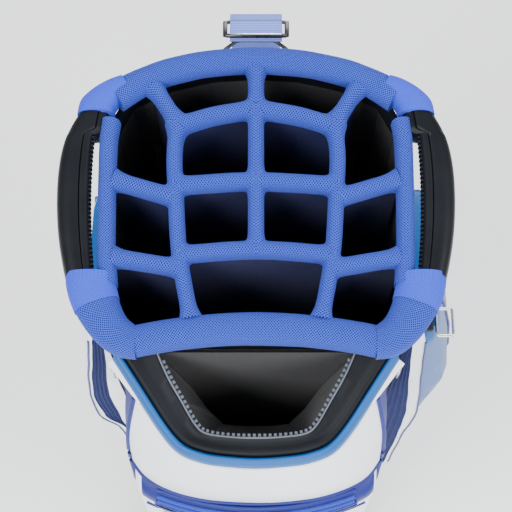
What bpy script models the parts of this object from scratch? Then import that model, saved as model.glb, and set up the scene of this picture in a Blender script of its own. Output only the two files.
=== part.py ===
"""Golf cart bag with a padded divider top and a putter well, standing on its own base.

Metres, +Z up. The origin is the middle of the base. The front, with the putter well, faces -Y.
"""

from math import asin, atan2, cos, pi, radians, sin, sqrt

import bmesh
import bpy
import numpy as np
from mathutils import Matrix, Vector

# ---- driving dimensions, in metres ----
TOP_Z = 0.882  # ridge height of the padded top over the origin
TOP_SLOPE = 0.2  # rise of the top for each metre towards the back
RIM_Z = 0.8348  # height of the putter-well rim where it leaves the front roll
RIM_SLOPE = 0.45
RIM_BACK = -0.1235
RIM_THICK = 0.012
ROLL_HEIGHT = 0.022
SIDE_ROLL_X = 0.1227
SIDE_ROLL_WIDTH = 0.0154
BACK_ROLL_WIDTH = 0.020
FRONT_ROLL_WIDTH = 0.025
BAR_WIDTH = 0.015
PANEL_THICK = 0.002
PANEL_BOTTOM = 0.020
BODY_HALF = 0.128
SHELL_WALL = 0.003
SHELL_BOTTOM = 0.0125
COLLAR_HEIGHT = 0.0175
COLLAR_FRONT = -0.1165
BOOT_HEIGHT = 0.070
BOOT_FLOOR = 0.012
BACK_OFFSET = 0.004  # the body's back stands this far behind the back roll's centre line
WAIST_Z = 0.45  # the front swells forwards above this height
SHOULDER_Z = 0.70  # and reaches the rim from this one
WELL_WALL_THICK = 0.002
STAY_X = 0.088
STAY_Y = 0.079
STAY_RADIUS = 0.003
STAY_LENGTH = 0.78
GAP = 0.0004  # clearance between touching pieces
COLLAR_DROP = 0.0020  # from the rolls down to the collar, which leans more than they do
BALL_RADIUS = 0.24  # plan radius of the ball pocket's front
BALL_FRONT = -0.2375
ZIP_Z = 0.700
SIDE_ZIP_AT = (0.1155, -0.1185)  # on the sloping face at the body's front corners
SIDE_ZIP_SLOPE = (0.5145, 0.8575)  # the way that face runs, away from the front
SIDE_ZIP_TOP = 0.785
SIDE_ZIP_BOTTOM = 0.360
BAR = 0.0016  # half thickness of the ring and buckle bars
WEB_WIDTH = 0.045
WEB_THICK = 0.0018
ANCHOR_END = 0.1245
RING_Y = 0.1335
RING_Z = 0.8775
LOW_RING_Z = 0.228
GLIDE_Y = 0.150
PAD_Y = 0.190
PAD_WIDTH = 0.060
PAD_THICK = 0.012
PAD_BOW = 0.008
PAD_HIGH = 0.740
PAD_LOW = 0.400
TAB_X = 0.150
TAB_Y = -0.088
TAB_Z = 0.8032

# ---- finishes: colour, roughness, metallic ----
MESH_BLUE = ((0.06, 0.12, 0.62), 0.85, 0.0)
KNIT_BLUE = ((0.08, 0.10, 0.72), 0.80, 0.0)
RUBBER = ((0.03, 0.032, 0.038), 0.50, 0.0)
LIGHT_BLUE = ((0.05, 0.36, 0.76), 0.45, 0.0)
WHITE_COATED = ((0.75, 0.79, 0.84), 0.45, 0.0)
NAVY = ((0.03, 0.04, 0.26), 0.60, 0.0)
BLACK_CLOTH = ((0.02, 0.02, 0.025), 0.90, 0.0)
ZIP_BLUE = ((0.05, 0.09, 0.50), 0.60, 0.0)
SILVER = ((0.70, 0.70, 0.72), 0.25, 1.0)
DARK_METAL = ((0.08, 0.08, 0.09), 0.35, 0.8)
ALUMINIUM = ((0.60, 0.60, 0.62), 0.35, 1.0)


def top(y):
    """Ridge height of the padded top at y."""
    return TOP_Z + TOP_SLOPE * y


def rim(y):
    """Height of the putter-well rim at y."""
    return RIM_Z + RIM_SLOPE * (y - RIM_BACK)


def back_arc(x):
    """Plan position of the back roll's centre line."""
    return 0.113 - 1.5 * x * x - 60.0 * x**4


def front_arc(x):
    """Plan position of the front roll's centre line."""
    return -0.110 - 1.06 * x * x


def material(name, finish):
    colour, roughness, metallic = finish
    made = bpy.data.materials.new(name)
    made.use_nodes = True
    shader = made.node_tree.nodes["Principled BSDF"]
    shader.inputs["Base Color"].default_value = (*colour, 1.0)
    shader.inputs["Roughness"].default_value = roughness
    shader.inputs["Metallic"].default_value = metallic
    return made


def add(name, bm, finish, smooth=True):
    """Make a named object of a closed mesh, its faces pointing out."""
    bmesh.ops.recalc_face_normals(bm, faces=bm.faces)
    if bm.calc_volume(signed=True) < 0:
        bmesh.ops.reverse_faces(bm, faces=bm.faces)
    mesh = bpy.data.meshes.new(name)
    bm.to_mesh(mesh)
    bm.free()
    mesh.materials.append(material(name, finish))
    if smooth:
        mesh.shade_smooth()
        mesh.set_sharp_from_angle(angle=radians(40))
    made = bpy.data.objects.new(name, mesh)
    bpy.context.collection.objects.link(made)
    return made


def loft(name, sections, finish, closed=False):
    """A solid through sections of equally many points: a closed loop, or capped at both ends."""
    bm = bmesh.new()
    rings = [[bm.verts.new(point) for point in section] for section in sections]
    count = len(sections[0])
    pairs = list(zip(rings, rings[1:]))
    if closed:
        pairs.append((rings[-1], rings[0]))
    for first, second in pairs:
        for i in range(count):
            j = (i + 1) % count
            bm.faces.new((first[i], first[j], second[j], second[i]))
    if not closed:
        bm.faces.new(rings[0])
        bm.faces.new(rings[-1])
    return add(name, bm, finish)


def box(name, low, high, finish, bevel=0.0):
    bm = bmesh.new()
    size = Vector(high) - Vector(low)
    place = Matrix.Translation((Vector(high) + Vector(low)) / 2) @ Matrix.Diagonal((*size, 1.0))
    bmesh.ops.create_cube(bm, size=1.0, matrix=place)
    if bevel:
        bmesh.ops.bevel(bm, geom=bm.edges[:], offset=bevel, segments=1, affect="EDGES")
    return add(name, bm, finish, smooth=False)


def mirrored(points):
    """Half an outline, given from x = 0 outwards, and its mirror image: left to right."""
    return [(-x, y) for x, y in reversed(points[1:])] + list(points)


def frames(path):
    """Each plan point of a path with the unit vector across it, mitred where it bends."""
    made = []
    for i, here in enumerate(path):
        before = Vector(path[max(i - 1, 0)])
        after = Vector(path[min(i + 1, len(path) - 1)])
        along = (after - before).normalized()
        made.append((Vector(here), Vector((along.y, -along.x))))
    return made


def swept(path, profile, height=top):
    """Sections of a profile of (across, up) points, along a plan path that follows a height rule."""
    sections = []
    for here, across in frames(path):
        z = height(here.y)
        sections.append([(*(here + across * u), z + v) for u, v in profile])
    return sections


def roll_profile(width, height, count=10):
    """A soft oval whose highest point is at up = 0."""
    points = []
    for i in range(count):
        turn = 2 * pi * (i + 0.5) / count
        points.append((width / 2 * cos(turn) / cos(pi / count), height / 2 * (sin(turn) - 1)))
    return points


def roll(name, path, width, finish=MESH_BLUE):
    loft(name, swept(path, roll_profile(width, ROLL_HEIGHT)), finish)


def divider(name, path):
    """A padded bar with the full-length divider panel that hangs from it."""
    half = BAR_WIDTH / 2
    edge = PANEL_THICK / 2
    side = ((half * 0.6, 0.0), (half, -0.3 * ROLL_HEIGHT), (half, -0.7 * ROLL_HEIGHT), (edge, -ROLL_HEIGHT))
    sections = []
    for here, across in frames(path):
        z = top(here.y)
        right = [(u, z + v) for u, v in side] + [(edge, PANEL_BOTTOM)]
        ring = right + [(-u, v) for u, v in reversed(right)]
        sections.append([(*(here + across * u), v) for u, v in ring])
    loft(name, sections, MESH_BLUE)


def rounded(half_u, half_v, count=24, power=5.0):
    """A rounded rectangle of points round (0, 0)."""
    points = []
    for i in range(count):
        turn = 2 * pi * (i + 0.5) / count
        c, s = cos(turn), sin(turn)
        u = half_u * abs(c) ** (2 / power) * (1 if c > 0 else -1)
        v = half_v * abs(s) ** (2 / power) * (1 if s > 0 else -1)
        points.append((u, v))
    return points


def pocket(name, place, half_u, half_v, back, front, finish, wall=0.003, edge=0.010, crown=0.004):
    """A pocket shell that is open towards the body. place turns (u, v, out) into a point;
    back and front give how far out its open edge and its face are at (u, v)."""

    def ring(scale, level, inset):
        points = []
        for u, v in rounded(half_u - inset, half_v - inset):
            near, far = back(u, v), front(u * scale, v * scale)
            out = near if level is None else far - level - inset
            points.append(place(u * scale, v * scale, out))
        return points

    shape = ((0.25, -crown), (0.60, -0.75 * crown), (0.92, 0.0), (1.0, edge), (1.0, None))
    outer = [ring(scale, level, 0.0) for scale, level in shape]
    inner = [ring(scale, level, wall) for scale, level in reversed(shape)]
    return loft(name, outer + inner, finish)


# ---- body ----
TOP_OUTLINE = (
    (0.0, -0.1975), (0.046, -0.1935), (0.059, -0.187), (0.0785, -0.165), (0.1010, -0.1330),
    (0.1235, -0.1040), (BODY_HALF, -0.088), (BODY_HALF, 0.045), (0.122, 0.068),
)
LOW_OUTLINE = (
    (0.0, -0.165), (0.060, -0.163), (0.086, -0.156), (0.100, -0.143), (0.1065, -0.1335),
    (0.1245, -0.1035), (BODY_HALF, -0.088), (BODY_HALF, 0.045), (0.122, 0.068),
)
BACK_STATIONS = (0.108, 0.075, 0.038)
FRONT_BLEND = 0.35  # how much of the top's front shape is left at the ball pocket's height


def outline(blend, grow=0.0):
    """The body's plan outline: blend 0 is the base's, 1 the top's. grow moves it outwards."""
    half = []
    for low, high in zip(LOW_OUTLINE, TOP_OUTLINE):
        half.append(Vector(low).lerp(Vector(high), blend))
    half += [Vector((x, back_arc(x) + BACK_OFFSET)) for x in BACK_STATIONS]
    half.append(Vector((0.0, back_arc(0.0) + BACK_OFFSET)))
    ring = half + [Vector((-p.x, p.y)) for p in reversed(half[1:-1])]
    count = len(ring)
    grown = []
    for i, here in enumerate(ring):
        along = (ring[(i + 1) % count] - ring[i - 1]).normalized()
        grown.append(here + Vector((along.y, -along.x)) * grow)
    return grown


def body_blend(z):
    """How far the outline at height z has gone from the base's shape to the top's."""
    if z <= WAIST_Z:
        return 0.0
    if z <= SHOULDER_Z:
        return FRONT_BLEND * (z - WAIST_Z) / (SHOULDER_Z - WAIST_Z)
    return FRONT_BLEND + (1 - FRONT_BLEND) * min((z - SHOULDER_Z) / 0.09, 1.0)


def body_front(x, z):
    """y of the body's front surface at (x, z)."""
    points = [p for p in outline(body_blend(z)) if p.y < -0.05 and p.x >= 0]
    points.sort(key=lambda p: p.x)
    for first, second in zip(points, points[1:]):
        if first.x <= abs(x) <= second.x and second.x > first.x:
            return first.lerp(second, (abs(x) - first.x) / (second.x - first.x)).y
    return points[-1].y


def shell_top(y):
    """Height of the body shell's upper edge: under the collar, and under the rim in front of it."""
    under_collar = top(y) - ROLL_HEIGHT - COLLAR_DROP - COLLAR_HEIGHT - 4 * GAP
    return under_collar if y > -0.1195 else min(under_collar, rim(y) - RIM_THICK - GAP)


def build_body():
    rings = []
    for grow in (0.0, -SHELL_WALL):
        stack = []
        for z in (SHELL_BOTTOM, WAIST_Z, SHOULDER_Z):
            stack.append([(p.x, p.y, z) for p in outline(body_blend(z), grow)])
        stack.append([(p.x, p.y, shell_top(p.y)) for p in outline(1.0, grow)])
        rings += stack if grow == 0.0 else reversed(stack)
    loft("body_shell", rings, WHITE_COATED, closed=True)

    grow_in, grow_out = 0.0006, 0.0050
    rings = [
        [(p.x, p.y, 0.0) for p in outline(0.0, grow_out - 0.003)],
        [(p.x, p.y, 0.004) for p in outline(0.0, grow_out)],
        [(p.x, p.y, BOOT_HEIGHT) for p in outline(0.0, grow_out - 0.001)],
        [(p.x, p.y, BOOT_HEIGHT) for p in outline(0.0, grow_in)],
        [(p.x, p.y, BOOT_FLOOR) for p in outline(0.0, grow_in)],
    ]
    loft("base_boot", rings, RUBBER)

    half = [Vector((x, COLLAR_FRONT)) for x in (0.0, 0.085, 0.110)]
    half += [Vector(p) for p in ((0.1225, -0.108), (BODY_HALF, -0.090), (BODY_HALF, 0.045), (0.122, 0.068))]
    half += [Vector((x, back_arc(x) + BACK_OFFSET)) for x in (*BACK_STATIONS, 0.0)]
    ring = half + [Vector((-p.x, p.y)) for p in reversed(half[1:-1])]
    sections = []
    for outside in ring:
        step = 0.0
        if outside.y > 0.05:
            step = -0.005
        elif outside.y < -0.10:
            step = 0.005
        inside = Vector((outside.x * 0.96, outside.y + step))
        section = []
        for p, drop in ((outside, 0.0), (inside, 0.0), (inside, COLLAR_HEIGHT), (outside, COLLAR_HEIGHT)):
            section.append((p.x, p.y, top(outside.y) - ROLL_HEIGHT - COLLAR_DROP - drop))
        sections.append(section)
    loft("top_collar", sections, RUBBER, closed=True)

    wall_top = top(COLLAR_FRONT) - ROLL_HEIGHT - COLLAR_DROP - COLLAR_HEIGHT - GAP
    low = (-0.1085, COLLAR_FRONT, PANEL_BOTTOM)
    box("well_wall", low, (0.1085, COLLAR_FRONT + WELL_WALL_THICK, wall_top), BLACK_CLOTH)
    for side, x in (("left", -STAY_X), ("right", STAY_X)):
        bm = bmesh.new()
        place = Matrix.Translation((x, STAY_Y, PANEL_BOTTOM + STAY_LENGTH / 2))
        bmesh.ops.create_cone(
            bm, cap_ends=True, segments=10, radius1=STAY_RADIUS, radius2=STAY_RADIUS,
            depth=STAY_LENGTH, matrix=place,
        )
        add(f"stay_{side}", bm, ALUMINIUM)

    sections = []
    for x, proud in ((-0.060, 0.002), (-0.045, 0.008), (0.045, 0.008), (0.060, 0.002)):
        y = back_arc(0.0) + BACK_OFFSET + GAP
        rows = ((y, 0.27), (y + proud, 0.28), (y + proud, 0.79), (y, 0.80))
        sections.append([(x, depth, z) for depth, z in rows])
    loft("back_spine", sections, NAVY)


# ---- padded top ----
def wrap(name, side, pairs):
    """A sleeve through pairs of (outer, inner) plan points, on one side of the bag."""
    profile = (
        (0.0, -0.35), (0.12, -0.06), (0.5, 0.05), (0.88, -0.06),
        (1.0, -0.35), (1.0, -0.8), (0.88, -1.0), (0.12, -1.0),
    )
    sections = []
    for outer, inner in pairs:
        outer, inner = Vector(outer), Vector(inner)
        section = []
        for t, v in profile:
            p = outer.lerp(inner, t)
            section.append((p.x * side, p.y, top(p.y) + v * ROLL_HEIGHT))
        sections.append(section)
    loft(name, sections, KNIT_BLUE)


def build_rolls():
    reach = 0.1085
    stations = [reach * (i / 8 - 1) for i in range(17)]
    roll("back_roll", [(x, back_arc(x)) for x in stations], BACK_ROLL_WIDTH)
    reach = 0.0955
    stations = [reach * (i / 5 - 1) for i in range(11)]
    roll("front_roll", [(x, front_arc(x)) for x in stations], FRONT_ROLL_WIDTH)
    for side, name in ((-1, "left"), (1, "right")):
        path = [(side * SIDE_ROLL_X, 0.0475 - 0.1187 * i / 4) for i in range(5)]
        roll(f"side_roll_{name}", path, SIDE_ROLL_WIDTH)
        front = (
            ((0.1515, -0.0716), (0.1146, -0.0716)),
            ((0.1440, -0.1000), (0.1125, -0.0850)),
            ((0.1310, -0.1190), (0.1090, -0.0960)),
            ((0.1150, -0.1310), (0.1040, -0.1040)),
            ((0.0990, -0.1329), (0.0990, -0.1079)),
        )
        wrap(f"wrap_front_{name}", side, front)
        back = (
            ((0.1475, 0.0687), (0.1190, 0.0687)),
            ((0.1365, 0.0830), (0.1145, 0.0715)),
            ((0.1145, 0.0951), (0.1039, 0.0782)),
        )
        wrap(f"wrap_back_{name}", side, back)


def build_dividers():
    half = BAR_WIDTH / 2
    divider("spine_back", [(0.0, 0.1020), (0.0, 0.0713 + half + GAP)])
    divider("spine_middle", [(0.0, 0.0705 - half - 3 * GAP), (0.0, 0.0103 + half + GAP)])
    divider("spine_front", [(0.0, 0.0095 - half - GAP), (0.0, -0.046 + half + GAP)])
    for row, y, drop, reach in (("back", 0.0103, 0.0037, 0.0580), ("front", -0.0460, 0.0042, 0.0530)):
        divider(f"cross_{row}_middle", [(-reach, y - drop), (0.0, y), (reach, y - drop)])
    for side, name in ((-1, "left"), (1, "right")):
        bar = ((0.0660, 0.0615), (0.0665, 0.0070), (0.0625, -0.0500), (0.0525, -0.0965))
        divider(f"divider_bar_{name}", [(side * x, y) for x, y in bar])
        divider(f"spoke_{name}", [(side * 0.0820, 0.0850), (side * 0.0690, 0.0667)])
        arc = ((0.0565, 0.0588), (0.0340, 0.0655), (0.0018, 0.0713))
        divider(f"arc_{name}", [(side * x, y) for x, y in arc])
        divider(f"cross_back_{name}", [(side * 0.0768, -0.0005), (side * 0.1128, 0.0100)])
        divider(f"cross_front_{name}", [(side * 0.0712, -0.0595), (side * 0.1128, -0.0535)])


def build_handles():
    block, slot = 0.1220, 0.0485
    stations = (0.0680, 0.0580, 0.0500, slot, 0.0478, 0.0300, 0.0100, -0.0100, -0.0300, -0.0500, -0.0712)
    for side, name in ((-1, "left"), (1, "right")):
        sections = []
        for y in stations:
            outer = 0.1645 - 1.9 * y * y - 450.0 * max(y, 0.0) ** 4
            inner = block if y >= slot else 0.1367 - 0.9 * y * y
            z = top(y) - 0.0015
            profile = ((inner, -0.004), (inner + 0.003, 0.0), (outer - 0.008, 0.0), (outer - 0.001, -0.006))
            profile += ((outer, -0.014), (outer - 0.004, -0.019), (inner + 0.002, -0.019), (inner, -0.016))
            sections.append([(side * x, y, z + v) for x, v in profile])
        loft(f"side_handle_{name}", sections, RUBBER)


# ---- putter well and front ----
RIM_OUTER = (
    (0.0, -0.2022), (0.028, -0.2005), (0.0445, -0.1978), (0.0600, -0.1915),
    (0.0740, -0.1765), (0.0915, -0.1515), (0.1110, RIM_BACK),
)
RIM_HOLE = (
    (0.0, -0.1868), (0.020, -0.1863), (0.0400, -0.1835), (0.0490, -0.1766),
    (0.0605, -0.1585), (0.0710, -0.1410), (0.0795, RIM_BACK),
)
PANEL_FOOT = (
    (0.0, -0.2235), (0.036, -0.2215), (0.062, -0.2170), (0.084, -0.2090), (0.099, -0.1990), (0.109, -0.1860),
)
TRIM_WIDTH = 0.008


def moved_out(points, distance):
    """A left-to-right plan line round the front, moved outwards."""
    return [here + across * distance for here, across in frames(points)]


def build_well():
    outer, hole = mirrored(RIM_OUTER), mirrored(RIM_HOLE)
    sections = []
    for (ox, oy), (hx, hy) in zip(outer, hole):
        out_z, in_z = rim(oy), rim(hy)
        sections.append([
            (ox, oy, out_z - 0.004), (ox * 0.98, oy * 0.985, out_z), (hx, hy, in_z - 0.001),
            (hx, hy, in_z - RIM_THICK), (ox, oy, out_z - RIM_THICK),
        ])
    loft("well_rim", sections, RUBBER)

    inside, outside = moved_out(outer, GAP), moved_out(outer, TRIM_WIDTH)
    sections = []
    for p, q in zip(inside, outside):
        z = rim(p.y)
        sections.append([(*p, z - 0.002), (*q, z - 0.008), (*q, z - 0.016), (*p, z - 0.016)])
    loft("rim_trim", sections, LIGHT_BLUE)

    foot = [Vector(p) for p in mirrored(PANEL_FOOT)]
    sections = []
    wall = 0.003
    for p, q in zip(moved_out(outer, TRIM_WIDTH + 0.0005)[1:-1], foot):
        ends = ((p, rim(p.y) - 0.0170), (q, ZIP_Z + 0.013))
        middle = (p.lerp(q, 0.55) + (q - p) * 0.06, (ends[0][1] + ends[1][1]) / 2)
        face = (ends[0], middle, ends[1])
        section = [(*at, z) for at, z in face]
        centre = Vector((p.x * 0.9, -0.05))
        section += [(*(at + (centre - at).normalized() * wall), z) for at, z in reversed(face)]
        sections.append(section)
    loft("front_panel", sections, WHITE_COATED)

    ring_half = [(0.0, -0.1868), (0.020, -0.1863), (0.0400, -0.1835), (0.0605, -0.1585)]
    ring_half += [(0.0795, RIM_BACK - 0.001), (0.0795, RIM_BACK + 0.002)]
    rings = []
    lows = ((0.06, 0.60, 0.46), (0.72, 0.72, 0.56), (None, 1.0, 1.0))
    for grow in (0.0022, 0.0):
        stack = []
        for z, squeeze_x, squeeze_y in lows:
            ring = []
            for x, y in ring_half + [(-x, y) for x, y in reversed(ring_half[1:])]:
                away = Vector((x, y + 0.150)).normalized() * grow
                px, py = x * squeeze_x + away.x, -0.1213 + (y + 0.1213) * squeeze_y + away.y
                level = rim(py) - RIM_THICK - 2 * GAP if z is None else z + (0.0 if grow else 0.003)
                ring.append((px, py, level))
            stack.append(ring)
        rings += stack if grow else reversed(stack)
    loft("well_liner", rings, BLACK_CLOTH)


def ball_face(x):
    """y of the ball pocket's face."""
    return BALL_FRONT + BALL_RADIUS - sqrt(BALL_RADIUS**2 - x * x)


def build_front_pockets():
    half_v, middle = (ZIP_Z + 0.012 - 0.405) / 2, (ZIP_Z + 0.012 + 0.405) / 2

    def place_ball(u, v, out):
        return (u, -out, middle + v)

    pocket(
        "ball_pocket", place_ball, 0.108, half_v,
        lambda u, v: 0.0040 - min(body_front(u, ZIP_Z + 0.012), body_front(u, 0.405)),
        lambda u, v: -ball_face(u), WHITE_COATED, crown=0.0,
    )
    low_half, low_middle = 0.145, 0.250

    def place_low(u, v, out):
        return (u, -out, low_middle + v)

    pocket(
        "lower_pocket", place_low, 0.100, low_half,
        lambda u, v: 0.0030 - body_front(u, low_middle),
        lambda u, v: 0.212 - (0.30 - sqrt(0.30**2 - u * u)), WHITE_COATED,
    )

    centre = Vector((0.0, BALL_FRONT + BALL_RADIUS))
    reach = asin(0.090 / BALL_RADIUS)
    sections = []
    for i in range(13):
        turn = reach * (i / 6 - 1)
        section = []
        for out, z in ((0.0006, -0.006), (0.0024, -0.006), (0.0024, 0.006), (0.0006, 0.006)):
            radius = BALL_RADIUS + out
            section.append((centre.x + radius * sin(turn), centre.y - radius * cos(turn), ZIP_Z - 0.008 + z))
        sections.append(section)
    loft("ball_zip", sections, ZIP_BLUE)


def metal_piece(name, half, place):
    """A small bevelled metal piece of half sizes, at a place given by a matrix."""
    bm = bmesh.new()
    size = Matrix.Diagonal((2 * half[0], 2 * half[1], 2 * half[2], 1.0))
    bmesh.ops.create_cube(bm, size=1.0, matrix=size)
    bmesh.ops.bevel(bm, geom=bm.edges[:], offset=min(half) * 0.4, segments=1, affect="EDGES")
    made = add(name, bm, SILVER, smooth=False)
    made.matrix_world = place
    return made


def build_zips():
    turn = -asin(0.080 / BALL_RADIUS)
    radius = BALL_RADIUS + 0.0052
    at = Vector((radius * sin(turn), BALL_FRONT + BALL_RADIUS - radius * cos(turn), ZIP_Z - 0.008))
    facing = Matrix.Rotation(turn, 4, "Z")
    metal_piece("ball_slider", (0.0065, 0.0022, 0.0045), Matrix.Translation(at) @ facing)
    hung = Matrix.Translation((0.0060, -0.0036, 0.0))
    metal_piece("ball_pull", (0.0110, 0.0006, 0.0030), Matrix.Translation(at) @ facing @ hung)
    for side, name in ((-1, "left"), (1, "right")):
        middle = Vector((side * SIDE_ZIP_AT[0], SIDE_ZIP_AT[1], 0.0))
        along = Vector((side * SIDE_ZIP_SLOPE[0], SIDE_ZIP_SLOPE[1], 0.0))
        out = Vector((side * SIDE_ZIP_SLOPE[1], -SIDE_ZIP_SLOPE[0], 0.0))
        sections = []
        for z in (SIDE_ZIP_BOTTOM, SIDE_ZIP_TOP):
            corners = ((-0.006, 0.0006), (0.006, 0.0006), (0.006, 0.0024), (-0.006, 0.0024))
            sections.append([(*(middle + along * u + out * v).to_2d(), z) for u, v in corners])
        loft(f"side_zip_{name}", sections, ZIP_BLUE)
        facing = Matrix.Rotation(atan2(out.y, out.x), 4, "Z")
        at = middle + out * 0.0052 + Vector((0.0, 0.0, SIDE_ZIP_TOP - 0.008))
        metal_piece(f"side_slider_{name}", (0.0022, 0.0045, 0.0065), Matrix.Translation(at) @ facing)
        at += out * 0.0036 - Vector((0.0, 0.0, 0.0060))
        metal_piece(f"side_pull_{name}", (0.0006, 0.0030, 0.0110), Matrix.Translation(at) @ facing)


# how far out each side pocket's face stands at a few heights: it widens downwards from a narrow shoulder
LEFT_POCKET = (
    (0.380, 0.1500), (0.420, 0.1590), (0.520, 0.1660), (0.620, 0.1660), (0.700, 0.1570), (0.800, 0.1455),
)
RIGHT_POCKET = (
    (0.300, 0.1570), (0.340, 0.1630), (0.520, 0.1660), (0.620, 0.1840), (0.700, 0.1750), (0.800, 0.1570),
)
POCKET_HALF = 0.073
POCKET_MIDDLE = -0.0295


def side_face(face, z):
    """How far out a side pocket's face is at height z."""
    heights = [height for height, _ in face]
    return float(np.interp(z, heights, [out for _, out in face]))


def build_side_pockets():
    for side, name, face, finish in (
        (-1, "left", LEFT_POCKET, WHITE_COATED),
        (1, "right", RIGHT_POCKET, LIGHT_BLUE),
    ):
        low, high = face[0][0], face[-1][0]
        middle = (low + high) / 2

        def place(u, v, out, side=side, middle=middle):
            return (side * out, POCKET_MIDDLE + side * u, middle + v)

        pocket(
            f"side_pocket_{name}", place, POCKET_HALF, (high - low) / 2,
            lambda u, v: BODY_HALF + GAP,
            lambda u, v, face=face, middle=middle: side_face(face, middle + v),
            finish, edge=0.010, crown=0.002,
        )


def bar_of_ring(name, corners, centre, finish, bar=BAR):
    """A closed round bar bent round flat corner points about a centre."""
    count = len(corners)
    sections = []
    for i in range(count):
        here = Vector(corners[i])
        arriving = (here - Vector(corners[i - 1])).normalized()
        leaving = (Vector(corners[(i + 1) % count]) - here).normalized()
        out = (arriving - leaving).normalized()
        section = []
        for k in range(6):
            turn = 2 * pi * k / 6
            p = here + out * (bar * cos(turn))
            section.append(centre + Vector((p.x, p.y, bar * sin(turn))))
        sections.append(section)
    loft(name, sections, finish, closed=True)


def ribbon(name, line, width, thick, finish):
    """A flat strap of constant width through (y, z) points, with its thickness across the line."""
    sections = []
    for here, across in frames(line):
        skin = here + across * thick
        low, high = -width / 2, width / 2
        sections.append([(low, *here), (high, *here), (high, *skin), (low, *skin)])
    loft(name, sections, finish)


def build_strap():
    """Webbing anchors, D-rings, the ladder buckle and the padded strap at the back."""
    back = back_arc(0.0) + BACK_OFFSET
    for name, z, length in (("strap_anchor", RING_Z, 0.063), ("lower_anchor", LOW_RING_Z, 0.050)):
        line = ((back + 0.001, z - length), (back + 0.002, z - 0.012), (ANCHOR_END, z - 0.002))
        ribbon(name, line, WEB_WIDTH, WEB_THICK, ZIP_BLUE)
    d_half = ((0.0275, -0.0060), (0.0275, 0.0), (0.0160, 0.0095))
    d_shape = d_half + tuple((-x, y) for x, y in reversed(d_half))
    for name, z in (("strap_ring", RING_Z), ("lower_ring", LOW_RING_Z)):
        bar_of_ring(name, d_shape, Vector((0.0, RING_Y, z)), DARK_METAL)

    over = RING_Z + BAR + 2 * GAP
    under = LOW_RING_Z - BAR - 2 * GAP
    bend = ((0.1400, 0.0), (0.1600, -0.0006), (0.1700, 0.006), (0.1770, 0.027), (0.1840, 0.080))
    upper = [(y, over - drop) for y, drop in bend] + [(PAD_Y, PAD_HIGH + GAP)]
    ribbon("strap_web_upper", upper, WEB_WIDTH, -WEB_THICK, ZIP_BLUE)
    lower = [(PAD_Y, PAD_LOW - GAP)] + [(y, under + rise) for y, rise in reversed(bend)]
    ribbon("strap_web_lower", lower, WEB_WIDTH, -WEB_THICK, ZIP_BLUE)
    pad = []
    for i in range(11):
        along = i / 10
        pad.append((PAD_Y - 0.004 + PAD_BOW * sin(pi * along), PAD_HIGH + (PAD_LOW - PAD_HIGH) * along))
    ribbon("strap_pad", pad, PAD_WIDTH, -PAD_THICK, BLACK_CLOTH)

    frame = ((0.0265, -0.0070), (0.0265, 0.0070), (-0.0265, 0.0070), (-0.0265, -0.0070))
    bar_of_ring("tri_glide", frame, Vector((0.0, GLIDE_Y, over + WEB_THICK + BAR + 3 * GAP)), DARK_METAL)


def build_towel_ring():
    """A black tab by the right front corner of the top, with a rectangular ring for a towel."""
    low = (BODY_HALF + GAP, TAB_Y - 0.008, TAB_Z - 0.0022)
    box("ring_tab", low, (TAB_X, TAB_Y + 0.008, TAB_Z + 0.0038), BLACK_CLOTH, bevel=0.001)
    frame = ((0.0070, -0.0120), (0.0070, 0.0120), (-0.0070, 0.0120), (-0.0070, -0.0120))
    bar_of_ring("towel_ring", frame, Vector((TAB_X + 0.0100, TAB_Y, TAB_Z)), SILVER, bar=0.0013)


def main():
    for made in list(bpy.data.objects):
        bpy.data.objects.remove(made, do_unlink=True)
    build_body()
    build_rolls()
    build_dividers()
    build_handles()
    build_well()
    build_front_pockets()
    build_zips()
    build_side_pockets()
    build_strap()
    build_towel_ring()


main()
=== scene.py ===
"""The looks of the golf cart bag: padded mesh top, moulded handles, coated panels, zips and strap."""

from math import atan2, cos, pi, radians, sin, sqrt

import bmesh
import bpy
import numpy as np
from mathutils import Matrix, Vector, noise


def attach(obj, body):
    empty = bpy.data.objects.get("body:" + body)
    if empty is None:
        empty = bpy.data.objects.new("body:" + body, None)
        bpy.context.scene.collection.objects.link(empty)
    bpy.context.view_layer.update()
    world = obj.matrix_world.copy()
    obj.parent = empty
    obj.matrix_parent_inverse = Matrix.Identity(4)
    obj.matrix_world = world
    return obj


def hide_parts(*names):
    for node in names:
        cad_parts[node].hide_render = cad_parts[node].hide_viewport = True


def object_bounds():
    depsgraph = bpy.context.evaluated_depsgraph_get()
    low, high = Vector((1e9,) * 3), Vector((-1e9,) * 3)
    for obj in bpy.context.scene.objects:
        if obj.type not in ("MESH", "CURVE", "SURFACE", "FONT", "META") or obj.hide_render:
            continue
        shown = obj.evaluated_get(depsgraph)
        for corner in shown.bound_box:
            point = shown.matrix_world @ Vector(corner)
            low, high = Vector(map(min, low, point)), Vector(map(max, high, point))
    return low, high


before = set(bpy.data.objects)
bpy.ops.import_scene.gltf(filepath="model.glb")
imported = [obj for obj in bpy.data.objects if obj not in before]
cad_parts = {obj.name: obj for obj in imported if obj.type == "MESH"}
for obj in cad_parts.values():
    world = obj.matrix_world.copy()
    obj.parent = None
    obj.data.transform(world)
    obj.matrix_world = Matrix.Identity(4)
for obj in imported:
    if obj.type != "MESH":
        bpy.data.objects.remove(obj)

CAD_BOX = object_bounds()
bpy.ops.object.select_all(action="DESELECT")

# ---- driving dimensions, in metres, as the frame has them ----
TOP_Z = 0.882
TOP_SLOPE = 0.2
RIM_Z = 0.8348
RIM_SLOPE = 0.45
RIM_BACK = -0.1235
ROLL_HEIGHT = 0.022
BALL_RADIUS = 0.24
BALL_FRONT = -0.2375
ZIP_Z = 0.692


def top(y):
    return TOP_Z + TOP_SLOPE * y


def rim(y):
    return RIM_Z + RIM_SLOPE * (y - RIM_BACK)


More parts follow.
